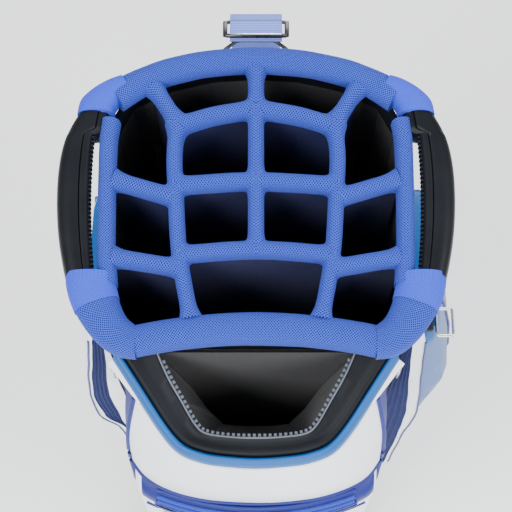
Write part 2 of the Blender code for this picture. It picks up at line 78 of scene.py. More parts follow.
def back_arc(x):
    return 0.113 - 1.5 * x * x - 60.0 * x**4


def front_arc(x):
    return -0.110 - 1.06 * x * x


# ---- materials ----
class Nodes:
    """A short way to build a material's node tree."""

    def __init__(self, name, colour, roughness=0.5, metallic=0.0, **extra):
        self.material = bpy.data.materials.new(name)
        self.material.use_nodes = True
        self.tree = self.material.node_tree
        self.shader = self.tree.nodes["Principled BSDF"]
        self.shader.inputs["Base Color"].default_value = (*colour, 1.0)
        self.shader.inputs["Roughness"].default_value = roughness
        self.shader.inputs["Metallic"].default_value = metallic
        for key, value in extra.items():
            self.shader.inputs[key.replace("_", " ")].default_value = value

    def new(self, kind, **settings):
        node = self.tree.nodes.new(kind)
        for key, value in settings.items():
            setattr(node, key, value)
        return node

    def link(self, out, into):
        self.tree.links.new(out, into)

    def coords(self, which="Object"):
        return self.new("ShaderNodeTexCoord").outputs[which]

    def math(self, operation, first, second=None):
        node = self.new("ShaderNodeMath", operation=operation)
        for socket, value in zip(node.inputs, (first, second)):
            if value is None:
                continue
            if isinstance(value, (int, float)):
                socket.default_value = value
            else:
                self.link(value, socket)
        return node.outputs[0]

    def noise(self, scale, detail=3.0, where=None, roughness=0.55):
        node = self.new("ShaderNodeTexNoise")
        node.inputs["Scale"].default_value = scale
        node.inputs["Detail"].default_value = detail
        node.inputs["Roughness"].default_value = roughness
        self.link(where or self.coords(), node.inputs["Vector"])
        return node.outputs["Fac"]

    def ramp(self, value, stops):
        node = self.new("ShaderNodeValToRGB")
        elements = node.color_ramp.elements
        while len(elements) < len(stops):
            elements.new(0.5)
        for element, (place, colour) in zip(elements, stops):
            element.position = place
            element.color = (*colour, 1.0) if len(colour) == 3 else colour
        self.link(value, node.inputs["Fac"])
        return node.outputs["Color"]

    def span(self, value, low, high, to_low=0.0, to_high=1.0):
        node = self.new("ShaderNodeMapRange")
        for key, number in (("From Min", low), ("From Max", high), ("To Min", to_low), ("To Max", to_high)):
            node.inputs[key].default_value = number
        self.link(value, node.inputs["Value"])
        return node.outputs["Result"]

    def mix(self, factor, first, second, blend="MIX"):
        node = self.new("ShaderNodeMix", data_type="RGBA", blend_type=blend)
        sockets = [s for s in node.inputs if s.type == "RGBA"]
        if isinstance(factor, (int, float)):
            node.inputs[0].default_value = factor
        else:
            self.link(factor, node.inputs[0])
        for socket, value in zip(sockets, (first, second)):
            if isinstance(value, tuple):
                socket.default_value = (*value, 1.0)
            else:
                self.link(value, socket)
        return [s for s in node.outputs if s.type == "RGBA"][0]

    def colour(self, value):
        self.link(value, self.shader.inputs["Base Color"])

    def rough(self, value):
        self.link(value, self.shader.inputs["Roughness"])

    def bump(self, height, distance, strength=1.0):
        node = self.new("ShaderNodeBump")
        node.inputs["Strength"].default_value = strength
        node.inputs["Distance"].default_value = distance
        self.link(height, node.inputs["Height"])
        self.link(node.outputs["Normal"], self.shader.inputs["Normal"])


def split(n, where):
    node = n.new("ShaderNodeSeparateXYZ")
    n.link(where, node.inputs[0])
    return node.outputs


# spacer mesh colours: the hole colour is painted shade down the open holes, and the light thread colour is
# partly painted highlight
def spacer_mesh(name="spacer_mesh", thread=(0.014, 0.036, 0.34), light=(0.052, 0.112, 0.66),
                hole_shade=(0.001, 0.002, 0.030)):
    """Open knitted spacer mesh: staggered holes between bright threads, on the piece's own UV in metres."""
    n = Nodes(name, thread, 0.80, Sheen_Weight=0.06, Sheen_Roughness=0.4)
    n.shader.inputs["Specular IOR Level"].default_value = 0.15
    u, v, _ = split(n, n.coords("UV"))
    across, along = 0.0027, 0.0023
    wobble = n.span(n.noise(90.0, 2.0), 0.0, 1.0, -0.25, 0.25)
    p = n.math("COSINE", n.math("ADD", n.math("MULTIPLY", u, 2 * pi / along), wobble))
    q = n.math("COSINE", n.math("ADD", n.math("MULTIPLY", v, 2 * pi / across), wobble))
    holes = n.math("MULTIPLY", p, q)
    fibre = n.noise(2600.0, 2.0)
    # the thread tone varies at random with the fibre noise; its lighter stop is the threads' highlight
    # colour, so the lighter threads are partly painted highlight
    thread_tone_and_highlight = n.ramp(fibre, ((0.25, thread), (0.75, light)))
    # painted shade: the open holes are painted dark navy and the threads grade darker towards them; the same
    # mask also sinks the holes in the bump
    depth = n.span(holes, 0.12, 0.52)
    n.colour(n.mix(depth, thread_tone_and_highlight, hole_shade))
    n.bump(n.math("SUBTRACT", n.math("MULTIPLY", fibre, 0.25), depth), 0.0007, 0.9)
    return n.material


def knit(name="knit_binding", dark=(0.014, 0.028, 0.34), light=(0.045, 0.092, 0.78)):
    """Fine rib knit of the binding bands."""
    n = Nodes(name, light, 0.80, Sheen_Weight=0.06, Sheen_Roughness=0.4)
    n.shader.inputs["Specular IOR Level"].default_value = 0.15
    u, v, _ = split(n, n.coords("UV"))
    ribs = n.math("SINE", n.math("MULTIPLY", v, 2 * pi / 0.0011))
    rows = n.math("SINE", n.math("MULTIPLY", u, 2 * pi / 0.0014))
    weave = n.span(n.math("ADD", n.math("MULTIPLY", ribs, 0.7), n.math("MULTIPLY", rows, 0.3)), -1.0, 1.0)
    fuzz = n.noise(900.0, 3.0)
    both = n.math("ADD", n.math("MULTIPLY", weave, 0.7), n.math("MULTIPLY", fuzz, 0.3))
    n.colour(n.ramp(both, ((0.1, dark), (0.8, light))))
    n.bump(both, 0.0004, 0.8)
    return n.material


def rubber(name, colour=(0.0045, 0.0052, 0.0072), roughness=0.42):
    n = Nodes(name, colour, roughness)
    n.shader.inputs["Specular IOR Level"].default_value = 0.14
    speck = n.noise(420.0, 4.0)
    wear = n.noise(16.0, 3.0)
    n.colour(n.ramp(wear, ((0.3, colour), (0.8, tuple(c * 1.55 for c in colour)))))
    n.rough(n.span(wear, 0.3, 0.7, roughness - 0.06, roughness + 0.10))
    n.bump(speck, 0.00025, 0.5)
    return n.material


def coated(name, colour, roughness=0.36, grain=0.0004):
    """Coated fabric, like soft synthetic leather: fine pebble grain with faint soil and shade."""
    n = Nodes(name, colour, roughness)
    n.shader.inputs["Specular IOR Level"].default_value = 0.30
    cells = n.new("ShaderNodeTexVoronoi")
    cells.inputs["Scale"].default_value = 900.0
    n.link(n.coords(), cells.inputs["Vector"])
    soft = n.noise(9.0, 3.0)
    pebble = n.math("ADD", n.math("MULTIPLY", cells.outputs["Distance"], 0.7),
                    n.math("MULTIPLY", n.noise(1500.0), 0.3))
    n.colour(n.ramp(soft, ((0.25, tuple(c * 0.93 for c in colour)), (0.75, colour))))
    n.rough(n.span(soft, 0.2, 0.8, roughness - 0.04, roughness + 0.07))
    n.bump(pebble, grain, 0.35)
    return n.material


def cloth(name, colour, light=None, pitch=0.0009, roughness=0.88, sheen=0.05):
    """Plain woven cloth on object coordinates."""
    light = light or tuple(min(c * 1.8 + 0.01, 1.0) for c in colour)
    n = Nodes(name, colour, roughness, Sheen_Weight=sheen)
    n.shader.inputs["Specular IOR Level"].default_value = 0.12
    x, y, z = split(n, n.coords())
    warp = n.math("SINE", n.math("MULTIPLY", n.math("ADD", x, y), 2 * pi / pitch))
    weft = n.math("SINE", n.math("MULTIPLY", z, 2 * pi / pitch))
    weave = n.span(n.math("MULTIPLY", warp, weft), -1.0, 1.0)
    fuzz = n.noise(500.0, 3.0)
    both = n.math("ADD", n.math("MULTIPLY", weave, 0.5), n.math("MULTIPLY", fuzz, 0.5))
    n.colour(n.ramp(both, ((0.2, colour), (0.85, light))))
    n.bump(both, 0.0003, 0.6)
    return n.material


def webbing(name, dark, light, pitch=0.0022):
    """Woven strap: rows of raised yarn across the strap, on the piece's own UV in metres."""
    n = Nodes(name, light, 0.75, Sheen_Weight=0.06)
    n.shader.inputs["Specular IOR Level"].default_value = 0.15
    u, v, _ = split(n, n.coords("UV"))
    rows = n.math("SINE", n.math("MULTIPLY", u, 2 * pi / pitch))
    cords = n.math("SINE", n.math("ADD", n.math("MULTIPLY", v, 2 * pi / 0.0016),
                                  n.math("MULTIPLY", rows, 1.2)))
    weave = n.span(n.math("ADD", n.math("MULTIPLY", rows, 0.45), n.math("MULTIPLY", cords, 0.55)), -1.0, 1.0)
    fuzz = n.noise(1200.0, 3.0)
    both = n.math("ADD", n.math("MULTIPLY", weave, 0.75), n.math("MULTIPLY", fuzz, 0.25))
    n.colour(n.ramp(both, ((0.15, dark), (0.8, light))))
    n.bump(both, 0.0005, 0.8)
    return n.material


def metal(name, colour, roughness):
    n = Nodes(name, colour, roughness, 1.0)
    scratch = n.noise(260.0, 4.0)
    n.rough(n.span(scratch, 0.3, 0.7, roughness * 0.75, roughness * 1.35))
    n.colour(n.ramp(n.noise(60.0), ((0.3, tuple(c * 0.8 for c in colour)), (0.7, colour))))
    n.bump(scratch, 0.00008, 0.4)
    return n.material


MESH = spacer_mesh()
KNIT = knit()
RUBBER = rubber("moulded_rubber")
BOOT = rubber("boot_rubber", (0.010, 0.011, 0.014), 0.55)
# painted highlight: a lighter grey rubber for the well's lip teeth and the bead round the hole
LIP_HIGHLIGHT = rubber("lip_highlight_rubber", (0.085, 0.095, 0.115), 0.45)
WHITE = coated("white_coated", (0.84, 0.90, 0.96))
LIGHT_BLUE = coated("light_blue_coated", (0.005, 0.085, 0.30), 0.36)
NAVY = coated("navy_coated", (0.012, 0.018, 0.17), 0.42)
NAVY_CLOTH = cloth("navy_gusset", (0.004, 0.007, 0.050), (0.011, 0.020, 0.120))
DARK_PANEL = cloth("dark_grey_panel", (0.016, 0.017, 0.022), (0.045, 0.047, 0.055))
INSIDE = cloth("divider_cloth", (0.004, 0.006, 0.034), (0.010, 0.014, 0.085), roughness=0.95, sheen=0.05)
BLACK = cloth("black_cloth", (0.008, 0.008, 0.010), (0.03, 0.03, 0.034), roughness=0.9, sheen=0.1)
WEB = webbing("blue_webbing", (0.09, 0.14, 0.50), (0.24, 0.33, 0.85))
ZIP_TAPE = webbing("zip_tape", (0.012, 0.022, 0.22), (0.04, 0.075, 0.50), 0.0012)
SILVER = metal("bright_metal", (0.78, 0.78, 0.80), 0.20)
GUNMETAL = metal("gunmetal", (0.07, 0.07, 0.08), 0.32)


# ---- making and placing pieces ----
def place(piece, body="root", slot=None, nodes=(), pad=None):
    """Ride a finished piece on a body and hide the nodes it stands for; its slot and pad are not used."""
    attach(piece, body)
    if nodes:
        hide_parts(*nodes)
    return piece


def to_object(name, bm, finishes, smooth=True):
    mesh = bpy.data.meshes.new(name)
    bm.to_mesh(mesh)
    bm.free()
    for finish in finishes:
        mesh.materials.append(finish)
    if smooth:
        mesh.shade_smooth()
        mesh.set_sharp_from_angle(angle=radians(50))
    made = bpy.data.objects.new(name, mesh)
    bpy.context.collection.objects.link(made)
    return made


def skin(name, sections, finishes, closed=False, finish_at=None, smooth=True):
    """A closed surface through sections of equally many points, its UV in metres: u along, v around."""
    bm = bmesh.new()
    uv = bm.loops.layers.uv.new("UVMap")
    rings = [[bm.verts.new(point) for point in section] for section in sections]
    count = len(sections[0])
    middles = [sum((Vector(p) for p in section), Vector()) / count for section in sections]
    along = [0.0]
    for first, second in zip(middles, middles[1:] + middles[:1]):
        along.append(along[-1] + (second - first).length)
    widest = max(sections, key=lambda s: sum((Vector(a) - Vector(b)).length for a, b in zip(s, s[1:])))
    around = [0.0]
    for k in range(count):
        around.append(around[-1] + (Vector(widest[(k + 1) % count]) - Vector(widest[k])).length)
    pairs = list(zip(rings, rings[1:]))
    if closed:
        pairs.append((rings[-1], rings[0]))
    for i, (first, second) in enumerate(pairs):
        for k in range(count):
            j = (k + 1) % count
            face = bm.faces.new((first[k], first[j], second[j], second[k]))
            corners = ((along[i], around[k]), (along[i], around[k + 1]),
                       (along[i + 1], around[k + 1]), (along[i + 1], around[k]))
            for loop, corner in zip(face.loops, corners):
                loop[uv].uv = corner
            if finish_at:
                face.material_index = finish_at(i, k)
    if not closed:
        for ring, at in ((rings[0], along[0]), (rings[-1], along[-2])):
            face = bm.faces.new(ring)
            for k, loop in enumerate(face.loops):
                loop[uv].uv = (at, around[k])
    bmesh.ops.recalc_face_normals(bm, faces=bm.faces)
    if bm.calc_volume(signed=True) < 0:
        bmesh.ops.reverse_faces(bm, faces=bm.faces)
    return to_object(name, bm, finishes if isinstance(finishes, (list, tuple)) else [finishes], smooth)


def curve_through(points, steps=6, closed=False):
    """Catmull-Rom points through a few given ones."""
    points = [Vector(p) for p in points]
    count = len(points)
    made = []
    spans = count if closed else count - 1
    for i in range(spans):
        a, b, c, d = (points[(i + o) % count] if closed else points[min(max(i + o, 0), count - 1)]
                      for o in (-1, 0, 1, 2))
        for s in range(steps):
            t = s / steps
            made.append(0.5 * ((2 * b) + (c - a) * t + (2 * a - 5 * b + 4 * c - d) * t * t
                               + (3 * b - a - 3 * c + d) * t**3))
    if not closed:
        made.append(points[-1])
    return made


def across_of(path, i, closed=False):
    """The unit plan vector across a path at point i."""
    count = len(path)
    before = path[(i - 1) % count] if closed else path[max(i - 1, 0)]
    after = path[(i + 1) % count] if closed else path[min(i + 1, count - 1)]
    along = (after - before).normalized()
    return Vector((along.y, -along.x))


def oval(width, height, count=20, squareness=2.4):
    """A soft section of (across, up) points whose top is at up = 0."""
    points = []
    for k in range(count):
        turn = 2 * pi * k / count
        c, s = cos(turn), sin(turn)
        u = abs(c) ** (2 / squareness) * (1 if c >= 0 else -1) * width / 2
        v = (abs(s) ** (2 / squareness) * (1 if s >= 0 else -1) - 1) * height / 2
        points.append((u, v))
    return points


def soft(point, amount=0.0006, scale=45.0):
    """A slight, steady unevenness of stuffed cloth."""
    return noise.noise(Vector(point) * scale) * amount


def roll_sections(path, widths, height=ROLL_HEIGHT, level=top, lift=0.0):
    sections = []
    for i, here in enumerate(path):
        across = across_of(path, i)
        width = widths[i] if isinstance(widths, list) else widths
        section = []
        for u, v in oval(width, height):
            p = Vector((here.x, here.y, 0.0)) + Vector((across.x, across.y, 0.0)) * u
            p.z = level(here.y) + v + lift
            section.append(p + Vector((0, 0, soft(p))))
        sections.append(section)
    return sections


def piping(name, points, radius, finish, body="root", sides=8, closed=False):
    """A round cord sewn in a seam, through 3-D points."""
    path = [Vector(p) for p in points]
    count = len(path)
    sections = []
    for i, here in enumerate(path):
        before = path[(i - 1) % count] if closed else path[max(i - 1, 0)]
        after = path[(i + 1) % count] if closed else path[min(i + 1, count - 1)]
        along = (after - before).normalized()
        side = along.cross(Vector((0, 0, 1)))
        if side.length < 0.2:
            side = along.cross(Vector((0, 1, 0)))
        side.normalize()
        up = side.cross(along)
        ring = [here + (side * cos(2 * pi * k / sides) + up * sin(2 * pi * k / sides)) * radius
                for k in range(sides)]
        sections.append(ring)
    return place(skin(name, sections, finish, closed=closed), body)


def modify(piece, kind, **settings):
    """Add a modifier and apply it."""
    bpy.ops.object.select_all(action="DESELECT")
    bpy.context.view_layer.objects.active = piece
    piece.select_set(True)
    modifier = piece.modifiers.new(kind, kind)
    for key, value in settings.items():
        setattr(modifier, key, value)
    bpy.ops.object.modifier_apply(modifier=modifier.name)
    piece.select_set(False)
    return piece


# ---- the padded divider grid ----
BARS = {
    "spine_back": ((0.0, 0.1060), (0.0, 0.0713)),
    "spine_middle": ((0.0, 0.0713), (0.0, 0.0103)),
    "spine_front": ((0.0, 0.0103), (0.0, -0.0460)),
    "cross_back_middle": ((-0.0665, 0.0066), (0.0, 0.0103), (0.0665, 0.0066)),
    "cross_front_middle": ((-0.0625, -0.0502), (0.0, -0.0460), (0.0625, -0.0502)),
}
for side, hand in ((-1, "left"), (1, "right")):
    BARS[f"divider_bar_{hand}"] = [(side * x, y) for x, y in (
        (0.0655, 0.0560), (0.0675, 0.0330), (0.0665, 0.0070), (0.0625, -0.0500), (0.0525, -0.1030))]
    BARS[f"spoke_{hand}"] = [(side * x, y) for x, y in ((0.0855, 0.0905), (0.0655, 0.0590))]
    BARS[f"arc_{hand}"] = [(side * x, y) for x, y in (
        (0.0655, 0.0560), (0.0550, 0.0595), (0.0340, 0.0655), (0.0, 0.0713))]
    BARS[f"cross_back_{hand}"] = [(side * x, y) for x, y in (
        (0.0665, -0.0015), (0.0768, -0.0005), (0.1180, 0.0115))]
    BARS[f"cross_front_{hand}"] = [(side * x, y) for x, y in (
        (0.0610, -0.0600), (0.0712, -0.0595), (0.1180, -0.0520))]
BAR_WIDTH = 0.0150
VOXEL = 0.0011


def bar_width(here, path):
    """Bars swell into the ones they meet."""
    ends = min((here - path[0]).length, (here - path[-1]).length)
    return BAR_WIDTH * (0.90 + 0.55 * max(0.0, 1 - ends / 0.014) ** 2)


def divider_grid():
    bpy.ops.object.select_all(action="DESELECT")
    tubes, paths = [], []
    for name, points in BARS.items():
        path = curve_through([Vector(p) for p in points], 8)
        widths = [bar_width(p, path) for p in path]
        tubes.append(skin(name + "_tube", roll_sections(path, widths, ROLL_HEIGHT), MESH))
        paths.append(path)
    for tube in tubes:
        tube.select_set(True)
    bpy.context.view_layer.objects.active = tubes[0]
    bpy.ops.object.join()
    grid = bpy.context.view_layer.objects.active
    grid.name = "divider_grid"
    modify(grid, "REMESH", mode="VOXEL", voxel_size=VOXEL)
    modify(grid, "SMOOTH", factor=0.5, iterations=14)
    grid.data.materials.clear()
    grid.data.materials.append(MESH)
    grid.data.shade_smooth()

    # each face takes its pattern from the bar that it is nearest to
    mesh = grid.data
    centres = np.empty(len(mesh.polygons) * 3)
    mesh.polygons.foreach_get("center", centres)
    centres = centres.reshape(-1, 3)
    best = np.full(len(centres), 9.0)
    nearest = np.zeros(len(centres), int)
    for number, path in enumerate(paths):
        for a, b in zip(path, path[1:]):
            span = b - a
            t = ((centres[:, 0] - a.x) * span.x + (centres[:, 1] - a.y) * span.y) / span.length_squared
            t = np.clip(t, 0, 1)
            gap = np.hypot(centres[:, 0] - a.x - span.x * t, centres[:, 1] - a.y - span.y * t)
            better = gap < best - 1e-5
            best[better] = gap[better]
            nearest[better] = number
    uv = mesh.uv_layers.new(name="UVMap")
    points = np.empty(len(mesh.vertices) * 3)
    mesh.vertices.foreach_get("co", points)
    points = points.reshape(-1, 3)
    corner_vertex = np.empty(len(mesh.loops), int)
    mesh.loops.foreach_get("vertex_index", corner_vertex)
    totals = np.empty(len(mesh.polygons), int)
    mesh.polygons.foreach_get("loop_total", totals)
    corner_bar = np.repeat(nearest, totals)
    at = points[corner_vertex]
    made = np.zeros((len(at), 2))
    for number, path in enumerate(paths):
        mine = corner_bar == number
        p = at[mine]
        close = np.full(len(p), 9.0)
        u = np.zeros(len(p))
        off = np.zeros(len(p))
        start = 0.0
        for i, (a, b) in enumerate(zip(path, path[1:])):
            span = b - a
            t = ((p[:, 0] - a.x) * span.x + (p[:, 1] - a.y) * span.y) / span.length_squared
            low = -9.0 if i == 0 else 0.0
            high = 9.0 if i == len(path) - 2 else 1.0
            t = np.clip(t, low, high)
            dx, dy = p[:, 0] - a.x - span.x * t, p[:, 1] - a.y - span.y * t
            gap = np.hypot(dx, dy)
            side = np.sign(dx * span.y - dy * span.x)
            better = gap < close - 1e-6
            close[better] = gap[better]
            u[better] = start + t[better] * span.length
            off[better] = (gap * side)[better]
            start += span.length
        middle = TOP_Z + TOP_SLOPE * p[:, 1] - ROLL_HEIGHT / 2
        turn = np.arctan2(off, p[:, 2] - middle)
        made[mine, 0] = u
        made[mine, 1] = turn * 0.0095
    uv.data.foreach_set("uv", made.astype(np.float32).ravel())
    return place(grid, slot="mesh_blue", nodes=list(BARS), pad=0.8)


def divider_panels():
    """The full-length cloth panels that hang from the bars into the bag."""
    for name, points in BARS.items():
        path = [Vector(p) for p in points]
        sections = []
        for i, here in enumerate(path):
            across = across_of(path, i) * 0.0009
            high = top(here.y) - 0.016
            a, b = here + across, here - across
            sections.append([(a.x, a.y, high), (b.x, b.y, high), (b.x, b.y, 0.03), (a.x, a.y, 0.03)])
        place(skin("panel_" + name, sections, INSIDE, smooth=False), slot="mesh_blue")


divider_grid()
divider_panels()


# ---- the rolls round the mouth ----
def tube(name, path, widths, finish=None, height=ROLL_HEIGHT, level=top, lift=0.0, steps=6, **how):
    line = curve_through([Vector((x, y)) for x, y in path], steps)
    if isinstance(widths, (list, tuple)):
        at = np.linspace(0, 1, len(line))
        widths = list(np.interp(at, np.linspace(0, 1, len(widths)), widths))
    piece = skin(name, roll_sections(line, widths, height, level, lift), finish or MESH)
    return place(piece, **how)


BACK_X = (-0.1170, -0.1040, -0.0900, -0.0720, -0.0480, -0.0240, 0.0,
          0.0240, 0.0480, 0.0720, 0.0900, 0.1040, 0.1170)
tube("padded_back_roll", [(x, back_arc(x) - 0.0005) for x in BACK_X],
     (0.025, 0.024, 0.0215, 0.021, 0.0205, 0.0205, 0.0205, 0.0205, 0.0205, 0.021, 0.0215, 0.024, 0.025),
     height=0.024, lift=0.0015, slot="mesh_blue", nodes=("back_roll",), pad=0.85)
FRONT_X = (-0.0985, -0.0860, -0.0650, -0.0420, -0.0200, 0.0, 0.0200, 0.0420, 0.0650, 0.0860, 0.0985)
tube("padded_front_roll", [(x, front_arc(x) + 0.0005) for x in FRONT_X],
     (0.0255, 0.0255, 0.0255, 0.0258, 0.0262, 0.0265, 0.0262, 0.0258, 0.0255, 0.0255, 0.0255),
     height=0.025, lift=0.0015, slot="mesh_blue", nodes=("front_roll",), pad=0.85)
for side, hand in ((-1, "left"), (1, "right")):
    tube(f"padded_side_roll_{hand}", [(side * x, y) for x, y in (
        (0.1205, 0.0600), (0.1222, 0.0450), (0.1227, 0.0200),
        (0.1227, -0.0150), (0.1222, -0.0450), (0.1205, -0.0750))],
        (0.0165, 0.0152, 0.0150, 0.0150, 0.0152, 0.0170), slot="mesh_blue",
        nodes=(f"side_roll_{hand}",), pad=0.85)


# ---- the sleeves that bind the handles' ends ----
def sleeve(name, stations, finish, node, crown=0.0022, thick=0.0235, lift=0.002):
    """A wide soft band: each station is an (outer, inner) pair of plan points, with its top crowned."""
    outer = curve_through([Vector(o) for o, _ in stations], 6)
    inner = curve_through([Vector(i) for _, i in stations], 6)
    sections = []
    for o, i in zip(outer, inner):
        middle, reach = (o + i) / 2, (o - i) / 2
        width = reach.length * 2
        aim = reach.normalized()
        section = []
        for u, v in oval(width, thick, 28, 2.9):
            p = Vector((middle.x + aim.x * u, middle.y + aim.y * u, 0.0))
            crowned = crown * (1 - (2 * u / width) ** 2) if v > -thick / 2 else 0.0
            p.z = top(middle.y) + v + crowned + lift - crown
            section.append(p + Vector((0, 0, soft(p, 0.0008, 38.0))))
        sections.append(section)
    piece = skin(name, sections, finish)
    return place(piece, slot="mesh_blue" if finish is MESH else "knit_blue", nodes=node, pad=0.6)


for side, hand in ((-1, "left"), (1, "right")):
    def pair(outer, inner):
        return ((side * outer[0], outer[1]), (side * inner[0], inner[1]))
    front = [pair((0.1535, -0.0700), (0.1150, -0.0700)), pair((0.1500, -0.0880), (0.1130, -0.0790)),
             pair((0.1420, -0.1040), (0.1105, -0.0880)), pair((0.1290, -0.1200), (0.1070, -0.0960)),
             pair((0.1130, -0.1310), (0.1030, -0.1020)), pair((0.0965, -0.1335), (0.0965, -0.1070))]
    sleeve(f"front_sleeve_{hand}", front, MESH, (f"wrap_front_{hand}",))
    band = [pair((0.1547, -0.0665), (0.1142, -0.0665)), pair((0.1543, -0.0760), (0.1136, -0.0735)),
            pair((0.1512, -0.0870), (0.1124, -0.0790)), pair((0.1468, -0.0975), (0.1110, -0.0845))]
    sleeve(f"front_band_{hand}", band, KNIT, (), crown=0.0026, thick=0.0245, lift=0.0030)
    back = [pair((0.1490, 0.0655), (0.1180, 0.0655)), pair((0.1465, 0.0770), (0.1170, 0.0705)),
            pair((0.1375, 0.0865), (0.1130, 0.0760)), pair((0.1240, 0.0945), (0.1080, 0.0810)),
            pair((0.1130, 0.0985), (0.1045, 0.0830))]
    sleeve(f"back_band_{hand}", back, KNIT, (f"wrap_back_{hand}",), crown=0.0020, thick=0.0240, lift=0.0022)


# ---- moulded side handles ----
GRIP_PROFILE = (
    (0.0, -0.0120), (0.0, -0.0045), (0.03, -0.0016), (0.09, 0.0), (0.20, 0.0008), (0.275, 0.0004),
    (0.295, -0.0014), (0.315, 0.0004), (0.42, 0.0012), (0.62, 0.0012), (0.80, -0.0002), (0.91, -0.0030),
    (0.975, -0.0075),
    (1.0, -0.0125), (0.97, -0.0175), (0.85, -0.0192), (0.15, -0.0192), (0.03, -0.0165),
)
BLOCK_INNER = 0.1222
SLOT_END = 0.0485


def grip_outer(y):
    return 0.1645 - 1.9 * y * y - 450.0 * max(y, 0.0) ** 4


def grip_inner(y):
    blend = min(max((y - SLOT_END + 0.002) / 0.004, 0.0), 1.0)
    slot_edge = 0.1367 - 0.9 * y * y
    return slot_edge + (BLOCK_INNER - slot_edge) * blend * blend * (3 - 2 * blend)


def blocks(name, places, size, finish, **how):
    """Many small equal bevelled blocks as one piece."""
    bm = bmesh.new()
    for matrix in places:
        bmesh.ops.create_cube(bm, size=1.0, matrix=matrix @ Matrix.Diagonal((*size, 1.0)))
    piece = to_object(name, bm, [finish], smooth=False)
    modify(piece, "BEVEL", width=min(size) * 0.22, segments=2)
    return place(piece, **how)


for side, hand in ((-1, "left"), (1, "right")):
    sections = []
    for i in range(61):
        y = 0.0705 - 0.1440 * i / 60
        inner, outer = grip_inner(y), grip_outer(y)
        ring = []
        for t, v in GRIP_PROFILE:
            drop = 0.0030 if y > SLOT_END and t < 0.25 else 0.0
            ring.append((side * (inner + (outer - inner) * t), y, top(y) - 0.0015 + v - drop))
        sections.append(ring)
    place(skin(f"grip_{hand}", sections, RUBBER), slot="rubber", nodes=(f"side_handle_{hand}",))
    ridges = []
    for i in range(31):
        y = 0.0445 - 0.0036 * i
        ridges.append(Matrix.Translation((side * (grip_inner(y) - 0.0004), y, top(y) - 0.0065)))
    blocks(f"grip_ridges_{hand}", ridges, (0.0024, 0.0020, 0.0065), RUBBER, slot="rubber")


# ---- the putter well's rim, its lip teeth and the trim ----
RIM_OUTER = ((0.0, -0.2022), (0.028, -0.2005), (0.0445, -0.1978), (0.0600, -0.1915), (0.0740, -0.1765),
             (0.0915, -0.1515), (0.1110, -0.1235))
RIM_HOLE = ((0.0, -0.1868), (0.020, -0.1863), (0.0400, -0.1835), (0.0490, -0.1766), (0.0605, -0.1585),
            (0.0710, -0.1410), (0.0795, -0.1235))
PANEL_FOOT = ((0.0, -0.2235), (0.036, -0.2215), (0.062, -0.2170),
              (0.084, -0.2090), (0.099, -0.1990), (0.109, -0.1860))
FOOT_Z = 0.713
RIM_THICK = 0.012


def both_sides(half):
    return [Vector((-x, y)) for x, y in reversed(half[1:])] + [Vector(p) for p in half]


def shifted(path, distance):
    return [here + across_of(path, i) * distance for i, here in enumerate(path)]


RIM_LINE = curve_through(both_sides(RIM_OUTER), 6)
HOLE_LINE = curve_through(both_sides(RIM_HOLE), 6)
sections = []
for o, h in zip(RIM_LINE, HOLE_LINE):
    aim = (o - h).normalized()
    width = (o - h).length
    rows = [(0.0, -RIM_THICK), (0.0, -0.0028), (0.0006, -0.0008), (0.0014, 0.0005),
            (0.0025, 0.0005), (0.0034, -0.0012)]
    rows += [(width * 0.5, -0.0014), (width - 0.0065, -0.0008),
             (width - 0.0042, 0.0007), (width - 0.0020, 0.0008)]
    rows += [(width - 0.0006, -0.0002), (width, -0.0028), (width, -RIM_THICK)]
    ring = []
    for d, v in rows:
        p = h + aim * d
        ring.append((p.x, p.y, rim(p.y) + v))
    sections.append(ring)
# the bead's two top faces round the hole take the lighter grey rubber, a painted highlight
place(skin("moulded_rim", sections, [RUBBER, LIP_HIGHLIGHT], finish_at=lambda i, k: 1 if 2 <= k <= 3 else 0),
      slot="rubber", nodes=("well_rim",))
LIP_PITCH = 0.0043
lip = []
walked = 0.0
for a, b in zip(HOLE_LINE, HOLE_LINE[1:]):
    step = (b - a).length
    while walked <= step:
        at = a.lerp(b, walked / step)
        along = (b - a).normalized()
        if at.y < -0.1290:
            turn = Matrix.Rotation(atan2(along.y, along.x), 4, "Z")
            inward = Vector((-along.y, along.x, 0.0)) * 0.0006
            lip.append(Matrix.Translation(Vector((at.x, at.y, rim(at.y) - 0.0032)) + inward) @ turn)
        walked += LIP_PITCH
    walked -= step
# the lip teeth are in the lighter grey rubber, a painted highlight
blocks("lip_teeth", lip, (0.0025, 0.0030, 0.0042), LIP_HIGHLIGHT, slot="rubber")

TRIM_PROFILE = ((0.0004, -0.0160), (0.0004, -0.0036), (0.0012, -0.0018), (0.0028, -0.0010), (0.0050, -0.0020),
                (0.0070, -0.0050), (0.0079, -0.0095), (0.0079, -0.0160))
sections = []
for i, here in enumerate(RIM_LINE):
    across = across_of(RIM_LINE, i)
    ring = []
    for d, v in TRIM_PROFILE:
        p = here + across * d
        ring.append((p.x, p.y, rim(here.y) + v))
    sections.append(ring)
place(skin("blue_trim", sections, LIGHT_BLUE), slot="light_blue", nodes=("rim_trim",))

# ---- the white front panel, its cords and the cloth beside it ----
PANEL_TOP = shifted(RIM_LINE, 0.0076)[6:-6]
FOOT_LINE = curve_through(both_sides(PANEL_FOOT), 6)
PANEL_ROWS = 12


def panel_point(i, t, lift=0.0):
    """A point of the front panel: i along its edge, t from the trim at 0 down to its foot at 1."""
    p, q = PANEL_TOP[i], FOOT_LINE[i]
    here = p.lerp(q, t)
    out = Vector((here.x, here.y + 0.06)).normalized()
    bulge = 0.0065 * sin(pi * min(t * 0.9 + 0.08, 1.0)) + lift
    z = (rim(RIM_LINE[i + 6].y) - 0.0120) * (1 - t) + FOOT_Z * t
    return Vector((here.x + out.x * bulge, here.y + out.y * bulge, z))


